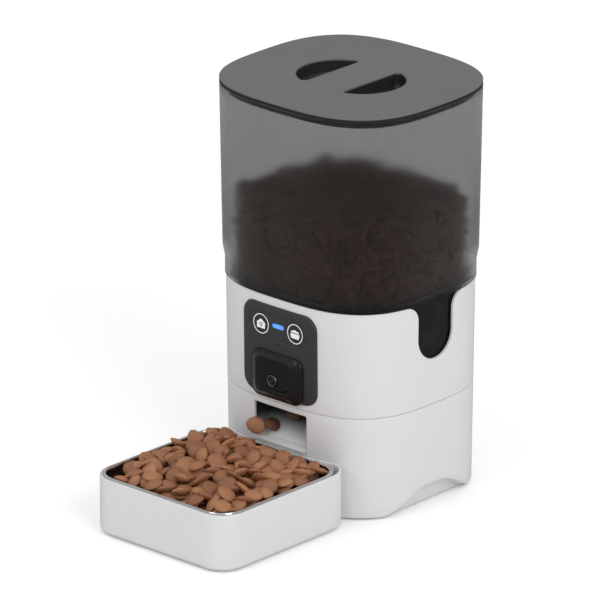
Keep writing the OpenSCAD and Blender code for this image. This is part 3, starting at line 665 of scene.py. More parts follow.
class Shape:
    """A mesh under construction, in millimetres."""

    def __init__(self) -> None:
        """Starts an empty mesh."""
        self.bm = bmesh.new()

    def loft(
        self, rings: Sequence[Sequence[Vector]], caps: bool = True, looped: bool = False, fans: bool = True
    ) -> "Shape":
        """Joins closed rings of equal length with quads.

        Args:
            rings: The rings, in order.
            caps: Closes the first and last ring.
            looped: Joins the last ring back to the first, for a wall with an inside.
            fans: Closes with fans, for round outlines; otherwise cuts the end into ears.

        Returns:
            This shape.
        """
        rows = [[self.bm.verts.new(p) for p in ring] for ring in rings]
        count = len(rows[0])
        pairs = list(zip(rows, rows[1:]))
        if looped:
            pairs.append((rows[-1], rows[0]))
        for low, high in pairs:
            for i in range(count):
                j = (i + 1) % count
                self.bm.faces.new((low[i], low[j], high[j], high[i]))
        if caps and not looped and not fans:
            ends = [self.bm.faces.new(rows[0]), self.bm.faces.new(rows[-1])]
            bmesh.ops.triangulate(self.bm, faces=ends, ngon_method="EAR_CLIP")
        elif caps and not looped:
            for row in (rows[0], rows[-1]):
                middle = self.bm.verts.new(sum((v.co for v in row), Vector()) / count)
                for i in range(count):
                    self.bm.faces.new((row[i], row[(i + 1) % count], middle))
        return self

    def mesh(self, name: str) -> bpy.types.Mesh:
        """Closes the shape into a mesh, in metres, with its faces outwards."""
        bmesh.ops.remove_doubles(self.bm, verts=self.bm.verts, dist=1e-4)
        bmesh.ops.recalc_face_normals(self.bm, faces=self.bm.faces)
        bmesh.ops.scale(self.bm, vec=(MM, MM, MM), verts=self.bm.verts)
        mesh = bpy.data.meshes.new(name)
        self.bm.to_mesh(mesh)
        self.bm.free()
        return mesh

    def piece(self, name: str, look: object, crease: float = 32.0) -> bpy.types.Object:
        """Makes an object of the shape.

        Args:
            name: The object's name.
            look: A finish with a build method, or None.
            crease: Edges sharper than this, in degrees, shade as edges.

        Returns:
            The object, at the origin.
        """
        mesh = self.mesh(name)
        if look is not None:
            mesh.materials.append(look.build())
        made = bpy.data.objects.new(name, mesh)
        bpy.context.scene.collection.objects.link(made)
        smooth(made, crease)
        return made


def smooth(piece: bpy.types.Object, crease: float) -> None:
    """Shades a piece smooth, apart from edges sharper than crease degrees."""
    piece.data.shade_smooth()
    piece.data.set_sharp_from_angle(angle=math.radians(crease))


def settle(piece: bpy.types.Object, crease: float = 32.0) -> bpy.types.Object:
    """Turns a piece's modifiers into plain mesh."""
    evaluated = piece.evaluated_get(bpy.context.evaluated_depsgraph_get())
    mesh = bpy.data.meshes.new_from_object(evaluated)
    old = piece.data
    piece.modifiers.clear()
    piece.data = mesh
    mesh.name = piece.name
    bpy.data.meshes.remove(old)
    smooth(piece, crease)
    return piece


def cos_of(degrees: float) -> float:
    """Cosine of an angle in degrees."""
    return math.cos(math.radians(degrees))


def sin_of(degrees: float) -> float:
    """Sine of an angle in degrees."""
    return math.sin(math.radians(degrees))


def carve(
    piece: bpy.types.Object, *cutters: Shape, join: bool = False, crease: float = 32.0
) -> bpy.types.Object:
    """Cuts shapes out of a piece, or adds them to it.

    Args:
        piece: The piece.
        cutters: Closed shapes, which are used up.
        join: Adds the shapes in place of cutting them out.
        crease: Shading angle of the result, in degrees.

    Returns:
        The piece.
    """
    tools = [cutter.piece("cutter", None) for cutter in cutters]
    for tool in tools:
        step = piece.modifiers.new("carve", "BOOLEAN")
        step.operation = "UNION" if join else "DIFFERENCE"
        step.solver = "MANIFOLD"
        step.object = tool
    settle(piece, crease)
    for tool in tools:
        bpy.data.objects.remove(tool)
    return piece


def arc(centre: Point2, radius: float, start: float, end: float, steps: int) -> list[Point2]:
    """Points along an arc, ends included, with angles in degrees."""
    return [
        (centre[0] + radius * cos_of(a), centre[1] + radius * sin_of(a))
        for a in (start + (end - start) * i / steps for i in range(steps + 1))
    ]


def divided(points: list[Point2], longest: float) -> list[Point2]:
    """Splits a closed outline's long sides so that none is over the given length."""
    made: list[Point2] = []
    for (x0, y0), (x1, y1) in zip(points, points[1:] + points[:1]):
        parts = max(1, math.ceil(math.hypot(x1 - x0, y1 - y0) / longest))
        made += [(x0 + (x1 - x0) * k / parts, y0 + (y1 - y0) * k / parts) for k in range(parts)]
    return made


def rounded_rect(
    width: float,
    height: float,
    radius: float,
    middle: Point2 = (0.0, 0.0),
    longest: float = 4.0,
    sides: int = 0,
) -> Outline:
    """Rounded rectangle as an outline that can grow.

    Args:
        width: Full width.
        height: Full height.
        radius: Corner radius.
        middle: Its centre.
        longest: Longest straight step along a side.
        sides: Steps along every side, in place of longest.

    Returns:
        A function from growth to points, always of the same number.
    """
    base_w, base_h = width / 2 - radius, height / 2 - radius
    side_steps = (sides, sides) if sides else (
        max(1, round(2 * base_h / longest)), max(1, round(2 * base_w / longest))
    )

    def outline(grow: float) -> list[Point2]:
        """The outline, grown by a distance in millimetres."""
        r = max(radius + grow, 0.02)
        corners = ((1, 1, 0), (-1, 1, 90), (-1, -1, 180), (1, -1, 270))
        arcs = [
            arc((middle[0] + sx * base_w, middle[1] + sy * base_h), r, a, a + 90, 8) for sx, sy, a in corners
        ]
        made: list[Point2] = []
        for k, points in enumerate(arcs):
            made += points
            (x0, y0), (x1, y1) = points[-1], arcs[(k + 1) % 4][0]
            parts = side_steps[(k + 1) % 2]
            made += [(x0 + (x1 - x0) * i / parts, y0 + (y1 - y0) * i / parts) for i in range(1, parts)]
        return made

    return outline


def disc(radius: float, middle: Point2 = (0.0, 0.0), steps: int = 48) -> Outline:
    """Circle as an outline that can grow."""
    return lambda grow: arc(middle, radius + grow, 0, 360 - 360 / steps, steps - 1)


def offset_outline(points: list[Point2]) -> Outline:
    """Any closed anticlockwise outline, grown along its corners' normals."""
    count = len(points)

    def outline(grow: float) -> list[Point2]:
        """The outline, grown by a distance in millimetres."""
        made = []
        for i, (x, y) in enumerate(points):
            (ax, ay), (bx, by) = points[i - 1], points[(i + 1) % count]
            tx, ty = bx - ax, by - ay
            length = math.hypot(tx, ty) or 1.0
            made.append((x + grow * ty / length, y - grow * tx / length))
        return made

    return outline


def place(outline: Sequence[Point2], surface: Surface, depth: float) -> list[Vector]:
    """Lays an outline on a surface, at a depth below it."""
    return [surface(u, v, depth) for u, v in outline]


def opening(outline: Outline, surface: Surface, through: float, lip: float = 0.6, fans: bool = True) -> Shape:
    """Cutter for a hole with a rounded lip, square to a surface.

    Args:
        outline: The hole's outline.
        surface: The surface that it goes into.
        through: Depth that it reaches.
        lip: Radius of the rounded lip.
        fans: False for an outline that isn't round.

    Returns:
        The cutter.
    """
    steps = [(-4.0, lip * 0.8 + 1.2), (-0.25, lip * 0.8 + 1.2)]
    steps += [
        (lip * (1 - math.cos(a)), lip * (1 - math.sin(a)))
        for a in (math.radians(d) for d in (14, 32, 50, 70, 90))
    ]
    steps.append((through, 0.0))
    return Shape().loft([place(outline(grow), surface, depth) for depth, grow in steps], fans=fans)


def cushion_plate(
    outline: Outline, surface: Surface, proud: float, back: float, edge: float, rows: int = 5
) -> Shape:
    """Plate that follows a surface, with a rounded front edge.

    Args:
        outline: The plate's outline.
        surface: The surface that it follows.
        proud: How far its face stands out of the surface.
        back: Depth of its back below the surface.
        edge: Radius of its rounded front edge.
        rows: Rings of faces that fill its front and back.

    Returns:
        The plate.
    """
    rim = outline(-edge)
    mid = (sum(p[0] for p in rim) / len(rim), sum(p[1] for p in rim) / len(rim))

    def shrunk(ring: Sequence[Point2], share: float) -> list[Point2]:
        """The ring, scaled about its middle by a share."""
        return [(mid[0] + (u - mid[0]) * share, mid[1] + (v - mid[1]) * share) for u, v in ring]

    rings = [place(shrunk(outline(0.0), k / rows), surface, back) for k in range(1, rows + 1)]
    for angle in (0, 18, 36, 54, 72, 90):
        a = math.radians(angle)
        rings.append(place(outline(-edge + edge * math.cos(a)), surface, -proud + edge - edge * math.sin(a)))
    rings += [place(shrunk(rim, 1 - k / rows), surface, -proud) for k in range(1, rows)]
    return Shape().loft(rings)


# ---------------------------------------------------------------- the object's own geometry


@dataclass
class Tower:
    """Outline and taper of the rounded-square tower."""

    width: float = 190.0
    depth: float = 176.4
    power: float = 3.0
    foot_inset: float = 6.3
    head_inset: float = 4.4
    head_z: float = 172.6
    middle_y: float = 67.85
    steps: int = 240

    def inset(self, z: float) -> float:
        """How far the housing stands inside the lid's edge at a height."""
        return self.foot_inset + (self.head_inset - self.foot_inset) * z / self.head_z

    def ring(self, inset: float, z: float) -> list[Vector]:
        """Ring of points around the tower at an inset from the lid's edge."""
        a, b = self.width / 2 - inset, self.depth / 2 - inset
        made = []
        for i in range(self.steps):
            t = 2 * math.pi * i / self.steps
            c, s = math.cos(t), math.sin(t)
            r = (abs(c / a) ** self.power + abs(s / b) ** self.power) ** (-1 / self.power)
            made.append(Vector((r * c, self.middle_y + r * s, z)))
        return made

    def front(self, u: float, v: float, depth: float) -> Vector:
        """Point on the housing's front at X = u and Z = v, at a depth below the surface."""
        inset = self.inset(v) + depth
        a, b = self.width / 2 - inset, self.depth / 2 - inset
        y = b * (1 - min(0.999, abs(u / a)) ** self.power) ** (1 / self.power)
        return Vector((u, self.middle_y - y, v))

    def side(self, hand: int) -> Surface:
        """Surface of one side, whose u runs along Y from the tower's middle.

        Args:
            hand: 1 for the right side, -1 for the left.

        Returns:
            The side's surface.
        """

        def surface(u: float, v: float, depth: float) -> Vector:
            """Point on the surface, at a depth below it."""
            inset = self.inset(v) + depth
            a, b = self.width / 2 - inset, self.depth / 2 - inset
            x = a * (1 - min(0.999, abs(u / b)) ** self.power) ** (1 / self.power)
            return Vector((hand * x, self.middle_y + hand * u, v))

        return surface

    def wall(self, profile: Sequence[Point2]) -> Shape:
        """Closed wall around the tower from a profile of inset and height."""
        return Shape().loft([self.ring(inset, z) for inset, z in profile], looped=True)


TOWER = Tower()


def lip(inset: float, z: float, radius: float, start: float, end: float, steps: int = 4) -> list[Point2]:
    """Rounded corner of a wall's profile, around a centre at an inset and a height.

    An angle of 0 points outwards from the tower and 90 upwards.
    """
    return [(inset - radius * cos_of(a), z + radius * sin_of(a))
            for a in (start + (end - start) * i / steps for i in range(steps + 1))]


def report(piece: bpy.types.Object, body: str, slot: str, *stands_for: str) -> bpy.types.Object:
    """Lets a piece ride on its body, hides the CAD nodes it stands for, and logs it; its slot is not used."""
    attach(piece, body)
    if stands_for:
        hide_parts(*stands_for)
    LOG.info("%s rides on %s, %d faces", piece.name, body, len(piece.data.polygons))
    return piece


@dataclass
class Housing:
    """White lower and upper housing with their notches, arches and openings."""

    wall: float = 2.2
    seam_z: float = 85.5
    seam_gap: float = 0.3
    foot_gap: float = 1.5
    notch_w: float = 40.0
    notch_z: float = 123.5
    notch_flare: float = 13.0
    arch_len: float = 114.0
    arch_h: float = 18.5
    arch_rise: float = 50.0
    arch_depth: float = 9.0
    arch_liner: float = 2.0
    chute_w: float = 55.0
    chute_z: tuple[float, float] = (50.5, 81.0)
    panel_w: float = 77.0
    panel_h: float = 75.0
    panel_z: float = 90.5
    panel_r: float = 12.0
    tab_x: float = 22.0
    inlet_z: float = 60.0

    def profile(self, low: float, high: float, foot_round: float) -> list[Point2]:
        """Closed profile of one housing wall between two heights."""
        made: list[Point2] = []
        edge = 0.28
        low_in, high_in = TOWER.inset(low), TOWER.inset(high)
        made += lip(low_in + foot_round, low + foot_round, foot_round, -90, 0)
        for k in range(1, 8):
            z = low + foot_round + (high - low - foot_round - edge) * k / 8
            made.append((TOWER.inset(z), z))
        made += lip(high_in + edge, high - edge, edge, 0, 90)
        made.append((high_in + self.wall, high))
        made.append((low_in + self.wall, low))
        return made

    def lining(self, inset: float, thick: float, low: float, high: float) -> Shape:
        """Inner flange around the tower."""
        return TOWER.wall([(inset, low), (inset, high), (inset + thick, high), (inset + thick, low)])

    def notch_outline(self) -> list[Point2]:
        """U-shaped finger notch whose mouth flares into the top edge."""
        half, top = self.notch_w / 2, TOWER.head_z + 0.02
        flare, over = self.notch_flare, 8.0
        points = arc((0, self.notch_z + half), half, 180, 360, 28)
        points += arc((half + flare, top - flare), flare, 180, 90, 12)
        points += [(half + flare + 2, top + over), (-half - flare - 2, top + over)]
        points += arc((-half - flare, top - flare), flare, 90, 0, 12)
        return divided(points, 6.0)

    def arch_outline(self) -> list[Point2]:
        """Bell-shaped grip arch along the floor."""
        half, low = self.arch_len / 2, -4.0
        made = [(-half, low), (half, low)]
        for k in range(24, -25, -1):
            t = min(1.0, half * (1 - abs(k) / 24) / self.arch_rise)
            made.append((half * k / 24, self.arch_h * t * t * (3 - 2 * t) + 0.2))
        return made

    def arch_end(self, outline: Sequence[Point2], hand: int, beyond: float, least: float) -> list[Vector]:
        """Inner end of an arch: a flat, or a depth below the surface where the flat would be outside.

        Args:
            outline: The ring to lay out.
            hand: 1 for the right side, -1 for the left.
            beyond: Extra depth beyond the recess's own flat.
            least: Smallest depth below the housing's surface.

        Returns:
            The ring.
        """
        surface = TOWER.side(hand)
        flat = TOWER.width / 2 - TOWER.foot_inset - self.arch_depth - beyond
        return [
            Vector((hand * min(flat, abs(surface(u, v, least).x)), TOWER.middle_y + hand * u, v))
            for u, v in outline
        ]

    def arch_liner_shape(self, hand: int) -> Shape:
        """Solid behind an arch, which leaves the recess its own inner wall."""
        outline = offset_outline(self.arch_outline())(self.arch_liner)
        return Shape().loft(
            [place(outline, TOWER.side(hand), 1.0), self.arch_end(outline, hand, self.arch_liner, 3.4)],
            fans=False,
        )

    def arch_cutter(self, hand: int) -> Shape:
        """Cutter of the grip recess, with a rounded lip and a flat inner end."""
        outline = offset_outline(self.arch_outline())
        surface = TOWER.side(hand)
        rings = [
            place(outline(grow), surface, depth)
            for depth, grow in ((-6, 1.6), (-0.2, 1.6), (0.1, 0.75), (0.4, 0.35), (1.0, 0.0))
        ]
        rings.append(self.arch_end(outline(0.0), hand, -3.0, 1.2))
        rings.append(self.arch_end(outline(-2.0), hand, 0.0, 1.4))
        return Shape().loft(rings, fans=False)

    def build_lower(self) -> None:
        """Makes the lower housing."""
        shell = TOWER.wall(
            self.profile(self.foot_gap, self.seam_z, 2.0)
        ).piece("lower_shell_skin", Look.WHITE)
        carve(shell, self.arch_liner_shape(1), self.arch_liner_shape(-1), join=True)
        reach = TOWER.width
        under = Shape().loft(
            [
                [
                    Vector((x, y, z))
                    for x, y in ((-reach, -reach), (reach, -reach), (reach, 2 * reach), (-reach, 2 * reach))
                ]
                for z in (-20.0, self.foot_gap)
            ]
        )
        carve(shell, under)
        middle_z = sum(self.chute_z) / 2
        mouth = rounded_rect(self.chute_w, self.chute_z[1] - self.chute_z[0], 1.6, (0, middle_z))
        carve(
            shell, self.arch_cutter(1), self.arch_cutter(-1),
            opening(mouth, TOWER.front, 8.0, 0.7),
            *(
                opening(rounded_rect(12, 4, 0.6, (x, 13.0)), TOWER.front, 8.0, 0.3)
                for x in (-self.tab_x, self.tab_x)
            ),
            self.inlet_cutter(),
        )
        report(shell, "tower", "white_shell", "lower_shell")

    def inlet_cutter(self) -> Shape:
        """Round hole of the power inlet in the back."""

        def back(u: float, v: float, depth: float) -> Vector:
            """Point on the housing's back."""
            return Vector((-u, 2 * TOWER.middle_y - TOWER.front(u, v, depth).y, v))

        return opening(disc(5.0, (0, self.inlet_z)), back, 8.0, 0.4)

    def build_upper(self) -> None:
        """Makes the upper housing."""
        low = self.seam_z + self.seam_gap
        shell = TOWER.wall(self.profile(low, TOWER.head_z, 0.4)).piece("upper_shell_skin", Look.WHITE)
        panel = rounded_rect(
            self.panel_w + 0.3, self.panel_h + 0.3, self.panel_r, (0, self.panel_z + self.panel_h / 2)
        )
        ledge = self.lining(TOWER.inset(95) + self.wall - 0.4, 3.6, 93.8, 97.8)
        skirt = self.lining(TOWER.inset(self.seam_z) + self.wall + 0.3, 1.6, 81.5, self.seam_z + 4)
        joint = self.lining(TOWER.inset(self.seam_z) + self.wall - 0.5, 2.0, low + 0.4, self.seam_z + 4)
        gap = Shape().loft(
            [[Vector((x, y, z)) for x, y in ((-31, -30), (31, -30), (31, 30), (-31, 30))] for z in (70, 90.2)]
        )
        lining = skirt.piece("lining", Look.WHITE)
        carve(lining, joint, join=True)
        carve(lining, gap)
        lining.name = "upper_shell_joint_lip"
        carve(shell, ledge, join=True)
        sides = [TOWER.side(hand) for hand in (1, -1)]
        carve(
            shell,
            opening(panel, TOWER.front, 12.0, 0.3),
            *(opening(offset_outline(self.notch_outline()), side, 12.0, 0.8, fans=False) for side in sides),
        )
        report(shell, "tower", "white_shell", "upper_shell")
        report(lining, "tower", "white_shell", "upper_shell")

    def build(self) -> None:
        """Makes both halves."""
        self.build_lower()
        self.build_upper()


@dataclass
class ControlPanel:
    """Black front panel with two buttons, a status light and a microphone hole."""

    housing: Housing
    proud: float = 1.5
    edge: float = 1.3
    button_x: float = 18.0
    button_z: float = 148.3
    button_r: float = 8.5
    led_w: float = 12.2
    led_h: float = 3.6
    led_z: float = 149.8
    mic_z: float = 135.3
    dish_w: float = 62.0
    dish_h: float = 22.0
    dish_depth: float = 0.55
    camera_z: float = 108.5

    def face(self, u: float, v: float, depth: float) -> Vector:
        """Panel's front surface."""
        return TOWER.front(u, v, depth - self.proud)

    def build_plate(self) -> None:
        """Makes the panel with its holes and the shallow dish around the buttons."""
        h = self.housing
        plate = cushion_plate(
            rounded_rect(h.panel_w, h.panel_h, h.panel_r, (0, h.panel_z + h.panel_h / 2)), TOWER.front,
            self.proud, h.wall, self.edge, rows=10,
        ).piece("control_panel_skin", Look.PANEL, crease=40)
        dish = rounded_rect(self.dish_w, self.dish_h, self.dish_h / 2 - 0.1, (0, self.button_z))
        rings = [(-2.0, 1.2), (-0.1, 0.7), (0.12, 0.34), (0.34, 0.12), (self.dish_depth, 0.0)]
        cut = Shape().loft([place(dish(grow), self.face, depth) for depth, grow in rings], caps=False)
        self.close_dish(cut, dish)
        carve(plate, cut, crease=28)
        carve(
            plate,
            *(
                opening(disc(self.button_r + 0.25, (x, self.button_z)), self.dish_face, 9.0, 0.3)
                for x in (-self.button_x, self.button_x)
            ),
            opening(
                rounded_rect(self.led_w + 0.3, self.led_h + 0.3, self.led_h / 2, (0, self.led_z)),
                self.dish_face,
                9.0,
                0.25,
            ),
            opening(disc(0.95, (0, self.mic_z), 20), self.face, 9.0, 0.25),
            Shape().loft(
                [place(rounded_rect(46, 32, 5, (0, self.camera_z))(0), self.face, d) for d in (-3, 9)]
            ),
            crease=28,
        )
        report(plate, "tower", "panel_black", "control_panel")

    def dish_face(self, u: float, v: float, depth: float) -> Vector:
        """Floor of the dish around the buttons."""
        return self.face(u, v, depth + self.dish_depth)

    def close_dish(self, cut: Shape, dish: Outline) -> None:
        """Closes the dish cutter with a floor that follows the panel and a lid outside it."""
        for depth, grow, rows in ((self.dish_depth, 0.0, 8), (-2.0, 1.2, 2)):
            rim = dish(grow)
            rings = [
                [
                    self.face(u * k / rows, self.button_z + (v - self.button_z) * k / rows, depth)
                    for u, v in rim
                ]
                for k in range(rows, 0, -1)
            ]
            cut.loft(rings, caps=False)
            middle = cut.bm.verts.new(self.face(0, self.button_z, depth))
            cut.bm.verts.ensure_lookup_table()
            last = [v for v in cut.bm.verts][-1 - len(rim):-1]
            for i, vert in enumerate(last):
                cut.bm.faces.new((vert, last[(i + 1) % len(last)], middle))

    def build_button(self, name: str, body: str, x: float, icon: list[Shape]) -> None:
        """Makes a button with its printed ring and icon.

        Args:
            name: The CAD node that it stands for.
            body: Its body.
            x: Its centre along X.
            icon: Shapes of the icon's print.
        """
        top = self.dish_face(x, self.button_z, 0.0).y

        def flat(u: float, v: float, depth: float) -> Vector:
            """Point on the flat plane of the button's top."""
            return Vector((u, top + depth, v))

        outline = disc(self.button_r, (x, self.button_z), 64)
        cap = cushion_plate(outline, flat, 0.12, 2.6, 0.2, rows=3)
        stem = Shape().loft([place(disc(2.4, (x, self.button_z), 24)(0), flat, d) for d in (2.4, 5.35)])
        piece = cap.piece(f"{name}_cap", Look.BUTTON)
        carve(piece, stem, join=True)
        report(piece, body, "button_black", name)
        ring = Shape()
        radii = (self.button_r - 1.05, self.button_r - 0.3)
        faces = [[Vector((x + r * math.cos(a), top - 0.12 - out, self.button_z + r * math.sin(a)))
                  for a in (2 * math.pi * i / 64 for i in range(64))]
                 for r, out in ((radii[0], 0.0), (radii[0], 0.06), (radii[1], 0.06), (radii[1], 0.0))]
        ring.loft(faces, looped=True)
        report(ring.piece(f"{name}_ring_print", Look.PRINT), body, "button_black")
        for k, part in enumerate(icon):
            look = Look.BUTTON if name == "wifi_button" and k else Look.PRINT
            report(part.piece(f"{name}_icon_print_{k}", look), body, "button_black")

    def print_shape(self, points: Sequence[Point2], x: float, base: float = 0.0) -> Shape:
        """Thin raised print from an outline around the button's centre, on a base height."""
        top = self.dish_face(x, self.button_z, 0.0).y - 0.12 - base
        rings = [[Vector((x + u, top + y, self.button_z + v)) for u, v in points] for y in (0.0, -0.06)]
        shape = Shape().loft(rings, caps=False)
        shape.bm.verts.ensure_lookup_table()
        count = len(points)
        shape.bm.faces.new(shape.bm.verts[:count])
        shape.bm.faces.new(shape.bm.verts[count:])
        return shape

    def band(self, points: Sequence[Point2], width: float) -> list[Point2]:
        """Closed outline of a stroke of a width along an open line."""
        left, right = [], []
        for i, (x, y) in enumerate(points):
            ax, ay = points[max(0, i - 1)]
            bx, by = points[min(len(points) - 1, i + 1)]
            length = math.hypot(bx - ax, by - ay)
            nx, ny = -(by - ay) / length * width / 2, (bx - ax) / length * width / 2
            left.append((x + nx, y + ny))
            right.append((x - nx, y - ny))
        return left + right[::-1]

    def home_icon(self, x: float) -> list[Shape]:
        """White house with two dark radio arcs and a dot over its door."""
        house = [
            (-4.2, -3.7),
            (4.2, -3.7),
            (4.2, 0.5),
            (4.9, 0.5),
            (0.6, 3.8),
            (-0.6, 3.8),
            (-4.9, 0.5),
            (-4.2, 0.5),
        ]
        walls = self.print_shape(house, x)
        arcs = [self.band(arc((0, -2.6), r, 48, 132, 10), 0.62) for r in (1.7, 3.1)]
        arcs.append(arc((0, -2.3), 0.62, 0, 330, 11))
        return [walls] + [self.print_shape(p, x, 0.06) for p in arcs]

    def meal_icon(self, x: float) -> list[Shape]:
        """Bowl under a heap of food with a gap between them."""
        bowl = [(-3.3, -3.9), (3.3, -3.9), (4.1, -3.4), (4.9, 0.2), (-4.9, 0.2), (-4.1, -3.4)]
        heap = [(4.3, 0.9)]
        for middle, radius in ((2.6, 1.6), (0.0, 2.3), (-2.6, 1.6)):
            heap += [
                (u, 0.9 + (v - 0.9) * 1.05)
                for u, v in arc(
                    (middle, 0.9), radius, 60 if middle < 2 else 0, 120 if middle > -2 else 180, 8
                )
            ]
        heap.append((-4.3, 0.9))
        return [self.print_shape(p, x) for p in (bowl, heap)]

    def build_led(self) -> None:
        """Makes the lit status light."""
        outline = rounded_rect(self.led_w, self.led_h, self.led_h / 2 - 0.05, (0, self.led_z), longest=2.0)
        glow = LitDiffuser(centre=self.dish_face(0, self.led_z, 0) * MM)
        lens = cushion_plate(outline, self.dish_face, 0.15, 3.0, 0.5, rows=3).piece("led_lens_glow", glow)
        report(lens, "tower", "led_blue", "led_lens")

    def build(self) -> None:
        """Makes the panel and everything on it."""
        self.build_plate()
        self.build_button("wifi_button", "left_button", -self.button_x, self.home_icon(-self.button_x))
        self.build_button("feed_button", "right_button", self.button_x, self.meal_icon(self.button_x))
        self.build_led()


@dataclass
class CameraBlock:
    """Raised glossy camera block with its front window and lens."""

    centre_z: float = 108.5
    width: float = 53.0
    height: float = 39.0
    corner: float = 8.0
    proud: float = 6.0
    flange: float = 1.8
    window_w: float = 31.0
    window_h: float = 24.0
    window_z: float = 111.0
    lens_z: float = 106.7
    lens_r: float = 4.8

    def base_y(self) -> float:
        """Y of the panel's face behind the block."""
        return TOWER.front(0, 128.0, -1.5).y

    def flat(self, u: float, v: float, depth: float) -> Vector:
        """Flat plane at the panel's face."""
        return Vector((u, self.base_y() + depth, v))

    def build(self) -> None:
        """Makes the block, the window and the lens."""
        sizes = [
            (self.width, self.height, self.corner, self.centre_z, 0.6),
            (self.width, self.height, self.corner, self.centre_z, -self.flange + 0.9),
            (self.width - 0.5, self.height - 0.5, self.corner - 0.2, self.centre_z, -self.flange + 0.3),
            (self.width - 1.6, self.height - 1.6, self.corner - 0.7, self.centre_z, -self.flange),
            (
                self.width - 3.6,
                self.height - 3.2,
                self.corner - 1.2,
                self.centre_z + 0.1,
                -self.flange - 0.25,
            ),
            (self.width - 7.0, self.height - 5.6, self.corner - 2.0, self.centre_z + 0.3, -self.flange - 1.3),
            (
                self.width - 11.0,
                self.height - 8.0,
                self.corner - 3.0,
                self.centre_z + 0.7,
                -self.flange - 2.7,
            ),
            (self.width - 14.4, self.height - 9.6, self.corner - 3.6, self.centre_z + 1.1, -self.proud + 0.5),
            (
                self.width - 15.2,
                self.height - 10.2,
                self.corner - 3.8,
                self.centre_z + 1.2,
                -self.proud + 0.14,
            ),
            (self.width - 16.4, self.height - 11.2, self.corner - 4.2, self.centre_z + 1.2, -self.proud),
        ]
        rings = [
            place(rounded_rect(w, h, r, (0, z), longest=400)(0), self.flat, d) for w, h, r, z, d in sizes
        ]
        block = Shape().loft(rings).piece("camera_block", Look.CAMERA, crease=50)

        def front(u: float, v: float, depth: float) -> Vector:
            """Point on the block's own front."""
            return self.flat(u, v, depth - self.proud)

        pocket = rounded_rect(self.window_w + 0.3, self.window_h + 0.3, 3.2, (0, self.window_z), longest=400)
        spigot = Shape().loft(
            [place(rounded_rect(46.4, 32.4, 5, (0, self.centre_z))(0), self.flat, d) for d in (0.4, 12.0)]
        )
        carve(block, spigot, join=True, crease=40)
        carve(
            block,
            opening(pocket, front, 1.35, 0.25),
            opening(disc(self.lens_r + 0.35, (0, self.lens_z)), front, 30.0, 0.05),
            crease=40,
        )
        report(block, "tower", "camera_black", "camera_housing")
        window = cushion_plate(
            rounded_rect(
                self.window_w, self.window_h, 3.0, (0, self.window_z), longest=4
            ), front, 0.0, 1.3, 0.35, rows=4
        ).piece("camera_window_pane", Look.WINDOW)
        carve(window, opening(disc(self.lens_r + 0.3, (0, self.lens_z)), front, 4.0, 0.35))
        report(window, "tower", "camera_window", "camera_window")
        self.build_lens(front)

    def build_lens(self, front: Surface) -> None:
        """Makes the lens barrel and its domed glass."""
        r = self.lens_r
        ring = [
            (6.8, 18.0),
            (6.8, 13.2),
            (r, 13.2),
            (r, -0.9),
            (r - 0.12, -1.12),
            (r - 0.4, -1.2),
            (r - 0.75, -1.2),
            (r - 0.95, -1.0),
            (r - 1.1, 0.2),
        ]
        barrel = Shape().loft([place(disc(radius, (0, self.lens_z), 48)(0), front, d) for radius, d in ring])
        report(barrel.piece("camera_lens_barrel", Look.LENS_RING), "tower", "camera_black", "camera_lens")
        dome = [(r - 1.15, 1.0)] + [((r - 1.15) * cos_of(a), 0.1 - 0.9 * sin_of(a)) for a in range(0, 90, 10)]
        glass = Shape().loft(
            [place(disc(radius, (0, self.lens_z), 48)(0), front, d) for radius, d in dome]
        ).piece("camera_lens_glass", Look.LENS)
        report(glass, "tower", "lens_glass", "camera_lens")


@dataclass
class FoodTank:
    """Smoked removable tank with its ring foot."""

    base_z: float = 172.9
    ring_h: float = 15.0
    ring_inset: float = 3.7
    step_h: float = 8.0
    step_inset: float = 2.0
    top_z: float = 333.6
    wall: float = 2.6
    flange_inset: float = 12.0
    flange_t: float = 2.4
    rebate_w: float = 1.1
    rebate_h: float = 2.2

    def build(self) -> None:
        """Makes the tank with its rounded steps and the rebate that takes the lid's seal."""
        ring_z, step_z = self.base_z + self.ring_h, self.base_z + self.ring_h + self.step_h
        outer = lip(self.ring_inset + 0.7, self.base_z + 0.7, 0.7, -90, 0)
        outer += [
            (self.ring_inset, ring_z - 1.2),
            (self.ring_inset - 0.12, ring_z - 0.1),
            (self.ring_inset - 0.45, ring_z + 1.6),
        ]
        outer += [
            (self.step_inset + 0.45, step_z - 1.6),
            (self.step_inset + 0.1, step_z + 0.2),
            (self.step_inset - 0.03, step_z + 2),
        ]
        outer += [
            (self.step_inset * (1 - k / 10), step_z + (self.top_z - step_z) * k / 10) for k in range(1, 10)
        ]
        outer += lip(0.3, self.top_z - self.rebate_h - 0.3, 0.3, 0, 90)
        outer += [(self.rebate_w, self.top_z - self.rebate_h), (self.rebate_w, self.top_z)]
        inner = [(self.wall, self.top_z), (self.step_inset + self.wall, step_z)]
        inner += [
            (self.ring_inset + self.wall, ring_z), (self.ring_inset + self.wall, self.base_z + self.flange_t)
        ]
        inner += [(self.flange_inset, self.base_z + self.flange_t), (self.flange_inset, self.base_z)]
        report(
            TOWER.wall(outer + inner).piece("hopper_smoked_wall", Look.TANK),
            "food_tank",
            "smoke_clear",
            "hopper",
        )


